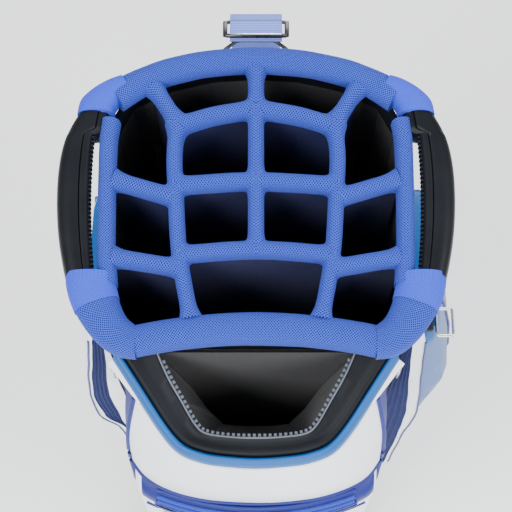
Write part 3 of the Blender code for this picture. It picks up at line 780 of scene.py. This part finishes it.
sections = []
for i in range(len(FOOT_LINE)):
    face = [panel_point(i, r / PANEL_ROWS) for r in range(PANEL_ROWS + 1)]
    face = [p + (p - Vector((0, -0.06, p.z))).normalized() * soft(p, 0.0010, 22.0) for p in face]
    back = [p + (Vector((0, -0.06, p.z)) - p).normalized() * 0.0026 for p in reversed(face)]
    sections.append(face + back)
place(skin("front_panel_cover", sections, WHITE), slot="white_coated", nodes=("front_panel",), pad=0.5)

LAST = len(FOOT_LINE) - 1
for hand, i in (("left", 0), ("right", LAST)):
    side = -1 if i == 0 else 1
    edge = []
    for r in range(PANEL_ROWS + 1):
        p = panel_point(i, r / PANEL_ROWS, 0.0006)
        edge.append(p + Vector((side * 0.0010, 0.0012, 0)))
    edge += [Vector((side * 0.1092, -0.1905, 0.700)), Vector((side * 0.1085, -0.1950, 0.680))]
    piping(f"panel_cord_{hand}", edge, 0.0021, NAVY)
    # the zip flap: a navy tongue that widens towards the trim
    flap = []
    for r in range(9):
        t = 0.02 + 0.60 * r / 8
        p = panel_point(i, t)
        wide = 0.0115 * (1 - r / 8) ** 0.8 + 0.002
        q = p + Vector((side * wide * 0.62, wide * 1.0, -0.004))
        tuck = Vector((side * 0.001, -0.001, 0.0015))
        flap.append([p + Vector((0, 0, 0.0005)), q + Vector((0, 0, 0.0004)), q - tuck, p - tuck])
    place(skin(f"zip_flap_{hand}", flap, NAVY), slot="navy")
    # the dark cloth panel under the zip, and the white edge by the trim
    sheet = []
    for r in range(9):
        z = 0.640 + 0.172 * r / 8
        blend = min(max((z - 0.70) / 0.09, 0.0), 1.0)
        near = Vector((0.1020, -0.1430)).lerp(Vector((0.1012, -0.1345)), blend)
        far = Vector((0.1250, -0.1035)).lerp(Vector((0.1240, -0.1040)), blend)
        out = Vector((0.8575, -0.5145)) * 0.0012
        ring = []
        for p, o in ((near, 0.35), (near, 1.0), (far, 1.0), (far, 0.35)):
            ring.append((side * (p.x + out.x * o), p.y + out.y * o, z))
        sheet.append(ring)
    place(skin(f"dark_gusset_{hand}", sheet, DARK_PANEL, smooth=False), slot="black_cloth")
    strip = []
    line = RIM_LINE[-8:] if side > 0 else list(reversed(RIM_LINE[:8]))
    for k, here in enumerate(line):
        out = Vector((side * 0.80, -0.60))
        near = here + out * 0.0080
        wide = 0.0012 + 0.0040 * k / 7
        far = here + out * (0.0080 + wide)
        z = rim(here.y) - 0.0085
        strip.append([(near.x, near.y, z), (far.x, far.y, z - 0.0010),
                      (far.x, far.y, z - 0.0055), (near.x, near.y, z - 0.0045)])
    place(skin(f"white_edge_{hand}", strip, WHITE), slot="white_coated")

foot_cord = [panel_point(i, 1.0) + Vector((0, -0.0006, -0.0012)) for i in range(len(FOOT_LINE))]
piping("foot_cord", foot_cord, 0.0019, NAVY)


# ---- side pockets: pleated gusset, edge strip and outer face ----
LEFT_FACE = ((0.380, 0.1490), (0.400, 0.1560), (0.460, 0.1620), (0.520, 0.1660),
             (0.620, 0.1660), (0.700, 0.1575), (0.760, 0.1500), (0.800, 0.1455))
RIGHT_FACE = ((0.300, 0.1560), (0.320, 0.1620), (0.460, 0.1640), (0.560, 0.1700), (0.605, 0.1800),
              (0.640, 0.1840), (0.700, 0.1760), (0.760, 0.1650), (0.800, 0.1570))
# x of the borders on the front face: from the body to the pleats, and from the pleats to the edge strip
LEFT_BANDS = (((0.38, 0.1300), (0.52, 0.1400), (0.62, 0.1440), (0.80, 0.1300)),
              ((0.38, 0.1310), (0.50, 0.1420), (0.54, 0.1560), (0.62, 0.1610), (0.70, 0.1530),
               (0.80, 0.1400)))
RIGHT_BANDS = (((0.30, 0.1300), (0.80, 0.1295)),
               ((0.30, 0.1540), (0.46, 0.1560), (0.56, 0.1545), (0.70, 0.1420), (0.80, 0.1330)))
POCKET_FRONT, POCKET_BACK = -0.1018, 0.0428
PLEATS = 12


def along_table(table, z):
    return float(np.interp(z, [a for a, _ in table], [b for _, b in table]))


def side_pocket(side, hand, face, bands, finishes, strip_width, bulge):
    """finishes: inner strip, pleats, edge strip, outer face, back gusset, top."""
    low, high = face[0][0], face[-1][0]
    sections = []
    levels = [low + (high - low) * i / 44 for i in range(45)]
    for z in levels:
        out = along_table(face, z)
        one, two = along_table(bands[0], z), along_table(bands[1], z)
        two = max(one + 0.001, min(two, out - 0.006))
        edge = min(two + strip_width, out - 0.003)
        fade = min((z - low) / 0.02, (high - z) / 0.012, 1.0)
        ends = sqrt(max(1 - (1 - max(fade, 0.0)) ** 2, 0.0))
        pinch = 0.0060 * (1 - ends)
        ring = [(0.1290, POCKET_FRONT + 0.001 + pinch), (one, POCKET_FRONT + pinch)]
        for k in range(1, PLEATS):
            t = k / PLEATS
            wave = 0.0016 * (0.5 - 0.5 * cos(2 * pi * 4 * t)) * min(1.0, (two - one) / 0.012)
            ring.append((one + (two - one) * t, POCKET_FRONT + wave + pinch))
        ring.append((two, POCKET_FRONT + pinch))
        ring.append((edge, POCKET_FRONT + 0.0012 + pinch))
        swell = bulge * min(1.0, max(0.0, (high - z) / 0.10))
        spread = max(out - edge, 0.004)
        ring += [(edge + spread * 0.45, POCKET_FRONT + 0.0045 + pinch),
                 (edge + spread * 0.85, POCKET_FRONT + 0.0120),
                 (out + swell * 0.35, -0.0760), (out + swell * 0.8, -0.0540), (out + swell, -0.0300),
                 (out + swell * 0.8, -0.0050), (out + swell * 0.2, 0.0200), (out - 0.0040, 0.0340),
                 (out - 0.0120, POCKET_BACK - pinch), (0.1290, POCKET_BACK - pinch)]
        shrink = 1 - 0.10 * (1 - ends)
        points = []
        for x, y in ring:
            reach = 0.1290 + (x - 0.1290) * shrink
            p = Vector((side * reach, y, z))
            points.append(p + Vector((side * soft(p, 0.0012, 20.0), soft(p, 0.0008, 33.0), 0)))
        sections.append(points)
    count = len(sections[0])
    for inset in (0.55, 0.15):
        top_ring = []
        for p in sections[-1 if inset else 0][:count]:
            reach = 0.1290 + (abs(p.x) - 0.1290) * inset
            top_ring.append(Vector((side * reach, -0.03 + (p.y + 0.03) * (0.9 + 0.1 * inset),
                                    high + 0.0022 * (1 - inset))))
        sections.append(top_ring)

    def finish_at(i, k):
        if i >= len(levels) - 1:
            return 5
        if k == 0:
            return 0
        if k <= PLEATS:
            return 1
        if k == PLEATS + 1:
            return 2
        if k >= count - 3:
            return 4
        return 3

    piece = skin(f"side_pocket_cover_{hand}", sections, finishes, finish_at=finish_at)
    place(piece, slot="white_coated" if side < 0 else "light_blue", nodes=(f"side_pocket_{hand}",), pad=0.4)
    # cords sewn along the borders of the outer face
    front_edge = [sections[i][PLEATS + 2] + Vector((side * 0.0002, -0.0004, 0)) for i in range(2, 44)]
    back_edge = [sections[i][count - 3] + Vector((side * 0.0006, 0.0002, 0)) for i in range(2, 44)]
    piping(f"pocket_cord_front_{hand}", front_edge, 0.0010, NAVY)
    piping(f"pocket_cord_back_{hand}", back_edge, 0.0016, NAVY)
    if side > 0:
        crest = [sections[i][PLEATS + 6] + Vector((0.0004, 0.0, 0.0)) for i in range(18, 44)]
        piping("pocket_cord_crest", crest, 0.0017, NAVY)


side_pocket(-1, "left", LEFT_FACE, LEFT_BANDS,
            [WHITE, NAVY_CLOTH, WHITE, WHITE, NAVY_CLOTH, LIGHT_BLUE], 0.0060, 0.003)
side_pocket(1, "right", RIGHT_FACE, RIGHT_BANDS,
            [NAVY_CLOTH, NAVY_CLOTH, WHITE, LIGHT_BLUE, NAVY_CLOTH, LIGHT_BLUE], 0.0110, 0.004)


# ---- ball pocket and lower pocket ----
def pouch(name, node, half, levels, face, back, finishes, finish_at):
    """A soft pouch on the front. levels are (z, how far the face has come out, 0 to 1)."""
    across = 28
    sections = []
    for z, out in levels:
        front, rear = [], []
        for k in range(across + 1):
            t = 2 * k / across - 1
            x = half * sin(t * pi / 2) if abs(t) < 1 else half * t
            corner = 0.016 * abs(t) ** 9
            y = back + (face(x) - back) * out + corner
            p = Vector((x, y, z))
            front.append(p + Vector((0, -soft(p, 0.0012, 24.0), 0)))
            rear.append(Vector((x * 0.965, max(min(y + 0.0040, -0.130), y + 0.0040), z)))
        left = Vector((-half, -0.1305, z))
        right = Vector((half, -0.1305, z))
        seam = Vector((0.003, 0, 0))
        sections.append([left, *front, right, right - seam, *reversed(rear), left + seam])
    piece = skin(name, sections, finishes, finish_at=finish_at)
    return place(piece, slot="white_coated", nodes=(node,), pad=0.5)


def ball_face(x):
    return BALL_FRONT + BALL_RADIUS - sqrt(BALL_RADIUS**2 - x * x)


def low_face(x):
    return -0.2115 + 0.30 - sqrt(0.09 - x * x)


BALL_LEVELS = [(0.7120, 0.78), (0.7105, 0.84), (0.7075, 0.905), (0.7040, 0.955),
               (0.7000, 0.985), (0.6960, 0.9975), (0.6900, 0.9985), (0.6840, 1.0)]
BALL_LEVELS += [(0.684 - 0.262 * i / 16, 1.0 + 0.022 * sin(pi * i / 16)) for i in range(1, 17)]
BALL_LEVELS += [(0.4160, 0.985), (0.4110, 0.95), (0.4080, 0.88), (0.4060, 0.78)]
pouch("ball_pocket_cover", "ball_pocket", 0.1075, BALL_LEVELS, ball_face, -0.1350, [WHITE, NAVY],
      lambda i, k: 1 if i < 6 and 4 <= k <= 26 else 0)
LOW_LEVELS = [(0.3940, 0.70), (0.3920, 0.86), (0.3880, 0.95), (0.3820, 0.99)]
LOW_LEVELS += [(0.380 - 0.260 * i / 14, 1.0 + 0.020 * sin(pi * i / 14)) for i in range(15)]
LOW_LEVELS += [(0.1140, 0.985), (0.1090, 0.94), (0.1065, 0.80)]
pouch("lower_pocket_cover", "lower_pocket", 0.0995, LOW_LEVELS, low_face, -0.1450, [WHITE, LIGHT_BLUE],
      lambda i, k: 1 if i < 4 else 0)


def arc_points(face, reach, z, lift, count=40):
    return [Vector((x, face(x) - lift, z)) for x in (reach * (2 * i / count - 1) for i in range(count + 1))]


# ridged welt over the ball pocket's zip
for number, (z, lift) in enumerate(((0.7085, -0.0095), (0.7045, -0.0045), (0.7003, -0.0016))):
    piping(f"welt_ridge_{number}", arc_points(ball_face, 0.0870, z, lift), 0.0021,
           NAVY if number == 0 else ZIP_TAPE)
piping("ball_pocket_hem", arc_points(ball_face, 0.0985, 0.6770, 0.0002), 0.0013, NAVY)
piping("low_pocket_hem", arc_points(low_face, 0.0900, 0.3780, 0.0004), 0.0013, NAVY)
piping("low_pocket_welt", arc_points(low_face, 0.0900, 0.3900, -0.0060), 0.0020, ZIP_TAPE)

# zip tapes with their rows of teeth
centre = Vector((0.0, BALL_FRONT + BALL_RADIUS, 0.0))
sections = []
reach = 0.3844
for i in range(49):
    turn = reach * (i / 24 - 1)
    ring = []
    for out, z in ((0.0006, -0.0060), (0.0013, -0.0060), (0.0013, -0.0022), (0.0010, 0.0),
                   (0.0013, 0.0022), (0.0013, 0.0060), (0.0006, 0.0060)):
        radius = BALL_RADIUS + out
        ring.append((radius * sin(turn), centre.y - radius * cos(turn), ZIP_Z + z))
    sections.append(ring)
place(skin("ball_zip_tape", sections, ZIP_TAPE), slot="webbing_blue", nodes=("ball_zip",))
coil = []
for i in range(88):
    turn = reach * 0.985 * (2 * i / 87 - 1)
    radius = BALL_RADIUS + 0.0018
    spin = Matrix.Rotation(turn, 4, "Z")
    coil.append(Matrix.Translation((radius * sin(turn), centre.y - radius * cos(turn), ZIP_Z)) @ spin)
blocks("ball_zip_coil", coil, (0.0012, 0.0014, 0.0036), GUNMETAL, slot="webbing_blue")

SIDE_ZIP_AT = (0.1155, -0.1185)
SIDE_ZIP_SLOPE = (0.5145, 0.8575)
SIDE_ZIP_LOW, SIDE_ZIP_HIGH = 0.360, 0.785
for side, hand in ((-1, "left"), (1, "right")):
    middle = Vector((side * SIDE_ZIP_AT[0], SIDE_ZIP_AT[1], 0.0))
    along = Vector((side * SIDE_ZIP_SLOPE[0], SIDE_ZIP_SLOPE[1], 0.0))
    out = Vector((side * SIDE_ZIP_SLOPE[1], -SIDE_ZIP_SLOPE[0], 0.0))
    sections = []
    for i in range(33):
        z = SIDE_ZIP_LOW + (SIDE_ZIP_HIGH - SIDE_ZIP_LOW) * i / 32
        row = ((-0.006, 0.0010), (0.006, 0.0010), (0.006, 0.0020), (0.0018, 0.0022), (0.0, 0.0019),
               (-0.0018, 0.0022), (-0.006, 0.0020))
        sections.append([middle + along * u + out * v + Vector((0, 0, z)) for u, v in row])
    place(skin(f"side_zip_tape_{hand}", sections, ZIP_TAPE), slot="webbing_blue", nodes=(f"side_zip_{hand}",))
    spin = Matrix.Rotation(atan2(out.y, out.x), 4, "Z")
    teeth = []
    for i in range(150):
        z = SIDE_ZIP_LOW + 0.004 + (SIDE_ZIP_HIGH - SIDE_ZIP_LOW - 0.016) * i / 149
        teeth.append(Matrix.Translation(middle + out * 0.0024 + Vector((0, 0, z))) @ spin)
    blocks(f"side_zip_coil_{hand}", teeth, (0.0010, 0.0036, 0.0016), GUNMETAL, slot="webbing_blue")


# ---- zip sliders and their pulls, in bright metal ----
def hard(name, parts, matrix, finish, bevel, body, slot, nodes=()):
    """Join freshly added primitives into one bevelled piece, at a place."""
    bpy.ops.object.select_all(action="DESELECT")
    for part in parts:
        part.select_set(True)
    bpy.context.view_layer.objects.active = parts[0]
    bpy.ops.object.transform_apply(location=True, rotation=True, scale=True)
    if len(parts) > 1:
        bpy.ops.object.join()
    piece = bpy.context.view_layer.objects.active
    piece.name = name
    piece.data.transform(matrix)
    piece.data.materials.clear()
    piece.data.materials.append(finish)
    piece.select_set(False)
    if bevel:
        modify(piece, "BEVEL", width=bevel, segments=2, limit_method="ANGLE", angle_limit=radians(40))
    piece.data.shade_smooth()
    piece.data.set_sharp_from_angle(angle=radians(40))
    return place(piece, body, slot, nodes)


def cube(size, at):
    bpy.ops.mesh.primitive_cube_add(size=1.0, location=at, scale=size)
    return bpy.context.view_layer.objects.active


def torus(major, minor, at, turn=(0, 0, 0)):
    bpy.ops.mesh.primitive_torus_add(major_radius=major, minor_radius=minor, major_segments=28,
                                     minor_segments=10, location=at, rotation=turn)
    return bpy.context.view_layer.objects.active


def rod(radius, length, at, turn=(0, 0, 0)):
    bpy.ops.mesh.primitive_cylinder_add(radius=radius, depth=length, vertices=20, location=at, rotation=turn)
    return bpy.context.view_layer.objects.active


def zip_slider(hand, matrix):
    """Local x runs out of the bag, z along the zip; the pull hangs in front."""
    parts = [cube((0.0014, 0.0088, 0.0128), (-0.0013, 0, 0)), cube((0.0010, 0.0070, 0.0110), (0.0006, 0, 0)),
             cube((0.0022, 0.0018, 0.0070), (0.0012, 0, 0.0010)),
             rod(0.0010, 0.0064, (0.0012, 0, 0.0040), (radians(90), 0, 0))]
    node = "ball_slider" if hand == "ball" else f"side_slider_{hand}"
    return hard(f"{hand}_slider_body", parts, matrix, SILVER, 0.0004, node, "silver", (node,))


def zip_pull(hand, matrix):
    parts = [torus(0.0022, 0.0006, (0, 0, 0.0084), (0, radians(90), 0)),
             cube((0.0012, 0.0050, 0.0130), (0, 0, -0.0004)),
             rod(0.0030, 0.0012, (0, 0, -0.0078), (0, radians(90), 0)),
             cube((0.0018, 0.0026, 0.0070), (0, 0, -0.0010))]
    node = "ball_pull" if hand == "ball" else f"side_pull_{hand}"
    return hard(f"{hand}_puller", parts, matrix, SILVER, 0.0003, node, "silver", (node,))


for side, hand in ((-1, "left"), (1, "right")):
    middle = Vector((side * SIDE_ZIP_AT[0], SIDE_ZIP_AT[1], 0.0))
    out = Vector((side * SIDE_ZIP_SLOPE[1], -SIDE_ZIP_SLOPE[0], 0.0))
    spin = Matrix.Rotation(atan2(out.y, out.x), 4, "Z")
    at = middle + out * 0.0052 + Vector((0, 0, SIDE_ZIP_HIGH - 0.008))
    zip_slider(hand, Matrix.Translation(at) @ spin)
    zip_pull(hand, Matrix.Translation(at + out * 0.0036 - Vector((0, 0, 0.0060))) @ spin)
BALL_SLIDER_TURN = -0.33984  # radians round the pocket's curve, at the closed end
SLIDER_LIFT = 0.0052
turn = BALL_SLIDER_TURN
radius = BALL_RADIUS + SLIDER_LIFT
at = Vector((radius * sin(turn), centre.y - radius * cos(turn), ZIP_Z))
flip = Matrix.Rotation(radians(-90), 4, "Z") @ Matrix.Rotation(radians(90), 4, "X")
lie = Matrix.Rotation(turn, 4, "Z") @ flip
zip_slider("ball", Matrix.Translation(at) @ lie)
hung = Matrix.Rotation(turn, 4, "Z") @ Matrix.Translation((0.0060, -0.0036, 0.0))
zip_pull("ball", Matrix.Translation(at) @ hung @ flip)


# ---- carrying strap, rings and ladder buckle ----
WEB_HALF = 0.0225
RING_Y, RING_Z, LOW_RING_Z = 0.1335, 0.8775, 0.228
BACK_Y = back_arc(0.0) + 0.004


def web(name, line, body, nodes=(), thick=0.0018, half=WEB_HALF, finish=None, lift=1.0):
    """Flat webbing through (y, z) points, its selvedges a little rounded."""
    path = curve_through([Vector(p) for p in line], 8)
    edge = half - 0.0006
    sections = []
    for i, here in enumerate(path):
        across = across_of(path, i) * lift
        ring = []
        for x, v in ((-half, 0.3), (-edge, 0.0), (-half * 0.5, 0.0), (0.0, 0.0), (half * 0.5, 0.0),
                     (edge, 0.0), (half, 0.3), (half, 0.7), (edge, 1.0), (half * 0.5, 1.0), (0.0, 1.0),
                     (-half * 0.5, 1.0), (-edge, 1.0), (-half, 0.7)):
            p = here + across * (thick * v)
            ring.append((x, p.x, p.y))
        sections.append(ring)
    return place(skin(name, sections, finish or WEB), body, "webbing_blue", nodes)


for name, z, length, node in (("upper_anchor_web", RING_Z, 0.063, "strap_anchor"),
                              ("lower_anchor_web", LOW_RING_Z, 0.050, "lower_anchor")):
    web(name, ((BACK_Y + 0.001, z - length), (BACK_Y + 0.002, z - 0.012), (0.1245, z - 0.002)),
        "root", (node,))
BAR_RADIUS, WEB_GAP, WEB_THICK = 0.0016, 0.0008, 0.0018
over = RING_Z + BAR_RADIUS + WEB_GAP
under = LOW_RING_Z - BAR_RADIUS - WEB_GAP
BEND = ((0.1400, 0.0), (0.1600, -0.0006), (0.1700, 0.006), (0.1770, 0.027), (0.1840, 0.080))
web("upper_strap_web", [(y, over - drop) for y, drop in BEND] + [(0.190, 0.7404)],
    "strap", ("strap_web_upper",), lift=-1.0)
web("lower_strap_web", [(0.190, 0.3996)] + [(y, under + rise) for y, rise in reversed(BEND)],
    "strap", ("strap_web_lower",), lift=-1.0)


def bent_bar(name, corners, at, radius, finish, body, nodes, rounding=0.003):
    """A round bar bent round flat corner points, as a curve made solid."""
    count = len(corners)
    points = []
    for i in range(count):
        here = Vector(corners[i])
        before = (Vector(corners[i - 1]) - here)
        after = (Vector(corners[(i + 1) % count]) - here)
        cut = min(rounding, before.length * 0.45, after.length * 0.45)
        start, end = here + before.normalized() * cut, here + after.normalized() * cut
        for s in range(5):
            t = s / 4
            points.append(start * (1 - t) ** 2 + here * (2 * t * (1 - t)) + end * t * t)
    line = [Vector((at[0] + p.x, at[1] + p.y, at[2])) for p in points]
    piece = piping(name, line, radius, finish, body, sides=14, closed=True)
    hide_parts(*nodes)
    return piece


D_HALF = ((0.0275, -0.0060), (0.0275, 0.0), (0.0160, 0.0095))
D_SHAPE = D_HALF + tuple((-x, y) for x, y in reversed(D_HALF))
for name, z, node in (("upper_d_ring", RING_Z, "strap_ring"), ("lower_d_ring", LOW_RING_Z, "lower_ring")):
    bent_bar(name, D_SHAPE, (0, RING_Y, z), BAR_RADIUS, GUNMETAL, "root", (node,))
GLIDE_Z = over + WEB_THICK + BAR_RADIUS + 0.0012
GLIDE_Y = 0.150
bent_bar("ladder_buckle_frame", ((0.0265, -0.0070), (0.0265, 0.0070), (-0.0265, 0.0070), (-0.0265, -0.0070)),
         (0, GLIDE_Y, GLIDE_Z), BAR_RADIUS, GUNMETAL, "tri_glide", ("tri_glide",),
         rounding=0.0035)
parts = [rod(0.0019, 0.0530, (0, GLIDE_Y - 0.0066, GLIDE_Z), (0, radians(90), 0))]
for side in (-1, 1):
    parts.append(cube((0.0040, 0.0150, 0.0034), (side * 0.0265, GLIDE_Y, GLIDE_Z)))
hard("ladder_buckle_bars", parts, Matrix.Identity(4), GUNMETAL, 0.0009, "tri_glide", "dark_metal")
hard("ladder_buckle_shine", [cube((0.0440, 0.0012, 0.0008), (0, GLIDE_Y - 0.0062, GLIDE_Z + 0.0018))],
     Matrix.Identity(4), SILVER, 0.0003, "tri_glide", "dark_metal")
web("web_over_buckle", ((GLIDE_Y - 0.0046, GLIDE_Z - 0.0012), (GLIDE_Y - 0.0030, GLIDE_Z + 0.0012),
                        (GLIDE_Y + 0.0030, GLIDE_Z + 0.0018), (GLIDE_Y + 0.0066, GLIDE_Z + 0.0004)),
    "tri_glide", thick=0.0016, half=0.0222, lift=-1.0)


# ---- the strap's pad, puffed up by a short cloth simulation ----
PAD_HIGH, PAD_LOW, PAD_Y, PAD_WIDTH = 0.740, 0.400, 0.190, 0.058


def pad_middle(z):
    t = (PAD_HIGH - z) / (PAD_HIGH - PAD_LOW)
    return PAD_Y + 0.0020 + 0.008 * sin(pi * min(max(t, 0.0), 1.0))


def puff(piece, pressure, frames, most):
    """Inflate a closed mesh a little with Cloth, capping how far any point moves."""
    start = np.empty(len(piece.data.vertices) * 3)
    piece.data.vertices.foreach_get("co", start)
    modifier = piece.modifiers.new("Cloth", "CLOTH")
    modifier.settings.use_pressure = True
    modifier.settings.uniform_pressure_force = pressure
    modifier.settings.effector_weights.gravity = 0.0
    modifier.point_cache.frame_start = 1
    modifier.point_cache.frame_end = frames
    for frame_number in range(1, frames + 1):
        bpy.context.scene.frame_set(frame_number)
    bpy.ops.object.select_all(action="DESELECT")
    bpy.context.view_layer.objects.active = piece
    piece.select_set(True)
    bpy.ops.object.modifier_apply(modifier=modifier.name)
    piece.select_set(False)
    bpy.context.scene.frame_set(1)
    now = np.empty_like(start)
    piece.data.vertices.foreach_get("co", now)
    move = (now - start).reshape(-1, 3)
    length = np.linalg.norm(move, axis=1, keepdims=True)
    move *= np.minimum(1.0, most / np.maximum(length, 1e-9))
    piece.data.vertices.foreach_set("co", (start.reshape(-1, 3) + move).ravel())
    piece.data.update()


sections = []
for i in range(29):
    z = PAD_HIGH - 0.003 - (PAD_HIGH - PAD_LOW - 0.006) * i / 28
    end = min(i, 28 - i) / 3
    wide = PAD_WIDTH / 2 * (0.84 + 0.16 * min(end, 1.0))
    deep = 0.0040 * (0.5 + 0.5 * min(end, 1.0))
    ring = []
    for k in range(24):
        a = 2 * pi * k / 24
        x = abs(cos(a)) ** 0.5 * (1 if cos(a) >= 0 else -1) * wide
        y = abs(sin(a)) ** 0.7 * (1 if sin(a) >= 0 else -1) * deep
        ring.append((x, pad_middle(z) + 0.0020 + y, z))
    sections.append(ring)
pad = skin("strap_cushion", sections, BLACK)
modify(pad, "REMESH", mode="VOXEL", voxel_size=0.0045)
puff(pad, 3.0, 12, 0.0025)
modify(pad, "SUBSURF", levels=1, render_levels=1)
pad.data.shade_smooth()
place(pad, "strap", "black_cloth", ("strap_pad",), pad=0.7)
for x in (-0.0270, 0.0270):
    line = [(x, pad_middle(z) + 0.0022, z) for z in np.linspace(PAD_HIGH - 0.012, PAD_LOW + 0.012, 24)]
    piping(f"strap_edge_{'left' if x < 0 else 'right'}", line, 0.0021, NAVY, "strap")


# ---- towel ring ----
bent_bar("towel_ring_bar", ((0.0070, -0.0120), (0.0070, 0.0120), (-0.0070, 0.0120), (-0.0070, -0.0120)),
         (0.1600, -0.0880, 0.8032), 0.0013, SILVER, "towel_ring", ("towel_ring",), rounding=0.0022)

# ---- the back panel's quilting ----
SPINE_Y = 0.1258
for number, z in enumerate(np.linspace(0.315, 0.755, 12)):
    line = [(x, SPINE_Y - 0.0002 * (abs(x) / 0.04) ** 2, z) for x in np.linspace(-0.0440, 0.0440, 9)]
    piping(f"spine_stitch_{number:02d}", line, 0.0009, NAVY_CLOTH)

# ---- finishes of the CAD nodes that stay in view ----
NODE_FINISH = {
    "body_shell": WHITE, "base_boot": BOOT, "top_collar": RUBBER, "well_liner": BLACK, "well_wall": BLACK,
    "ring_tab": BLACK, "stay_left": BLACK, "stay_right": BLACK, "back_spine": NAVY_CLOTH,
}
for node_name, finish in NODE_FINISH.items():
    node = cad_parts[node_name]
    node.data.materials.clear()
    node.data.materials.append(finish)

# the shell's lining is black: its faces that look towards the middle of the bag
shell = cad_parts["body_shell"].data
shell.materials.append(BLACK)
for face in shell.polygons:
    if face.normal.dot(Vector((face.center.x, face.center.y, 0.0))) < 0.0:
        face.material_index = 1

# ribs moulded on the boot
for number in range(3):
    z = 0.018 + 0.017 * number
    outline = curve_through([Vector((x, y)) for x, y in (
        (0.0, -0.1700), (0.060, -0.1680), (0.0860, -0.1610), (0.1035, -0.1455), (0.1115, -0.1335),
        (0.1290, -0.1050), (0.1330, -0.0870), (0.1330, 0.0450), (0.1265, 0.0715))], 6)
    back = [Vector((x, back_arc(x) + 0.0088)) for x in (0.108, 0.075, 0.038, 0.0)]
    half = outline + back
    ring_points = [(p.x, p.y, z) for p in half] + [(-p.x, p.y, z) for p in reversed(half[1:-1])]
    piping(f"boot_rib_{number}", ring_points, 0.0014, BOOT, closed=True)



# ---- floor, light and camera ----
def plain_white(name, colour):
    material = bpy.data.materials.new(name)
    material.use_nodes = True
    shader = material.node_tree.nodes["Principled BSDF"]
    shader.inputs["Base Color"].default_value = (*colour, 1.0)
    shader.inputs["Roughness"].default_value = 0.9
    return material


bpy.ops.mesh.primitive_plane_add(size=14.0, location=(0, 0, CAD_BOX[0][2] - 0.0005))
floor = bpy.context.view_layer.objects.active
floor.name = "floor"
floor.data.materials.append(plain_white("pale_floor", (0.97, 0.97, 0.98)))

world = bpy.data.worlds.new("studio")
bpy.context.scene.world = world
world.use_nodes = True
backdrop = world.node_tree.nodes["Background"]
backdrop.inputs["Color"].default_value = (0.94, 0.97, 1.0, 1.0)
backdrop.inputs["Strength"].default_value = 0.80


def area_light(name, location, target, size, power, colour=(1.0, 1.0, 1.0)):
    data = bpy.data.lights.new(name, "AREA")
    data.size = size
    data.energy = power
    data.color = colour
    light = bpy.data.objects.new(name, data)
    light.location = location
    light.rotation_euler = (Vector(target) - Vector(location)).to_track_quat("-Z", "Y").to_euler()
    bpy.context.collection.objects.link(light)


area_light("key_light", (-1.3, -1.2, 2.6), (0, 0, 0.8), 1.2, 76.0)
area_light("fill_light", (1.6, -0.9, 2.1), (0, 0, 0.8), 1.4, 52.0)
area_light("back_light", (0.2, 1.7, 2.2), (0, 0, 0.8), 1.2, 42.0)
area_light("front_light", (0.0, -2.2, 1.2), (0, -0.1, 0.6), 1.4, 36.0)

camera_data = bpy.data.cameras.new("camera")
camera_data.sensor_width = 36.0
camera_data.lens = 86.06
camera = bpy.data.objects.new("camera", camera_data)
camera.location = (0.0, -0.425, 1.787)
camera.rotation_euler = (radians(22.0), 0.0, 0.0)
bpy.context.collection.objects.link(camera)
bpy.context.scene.camera = camera
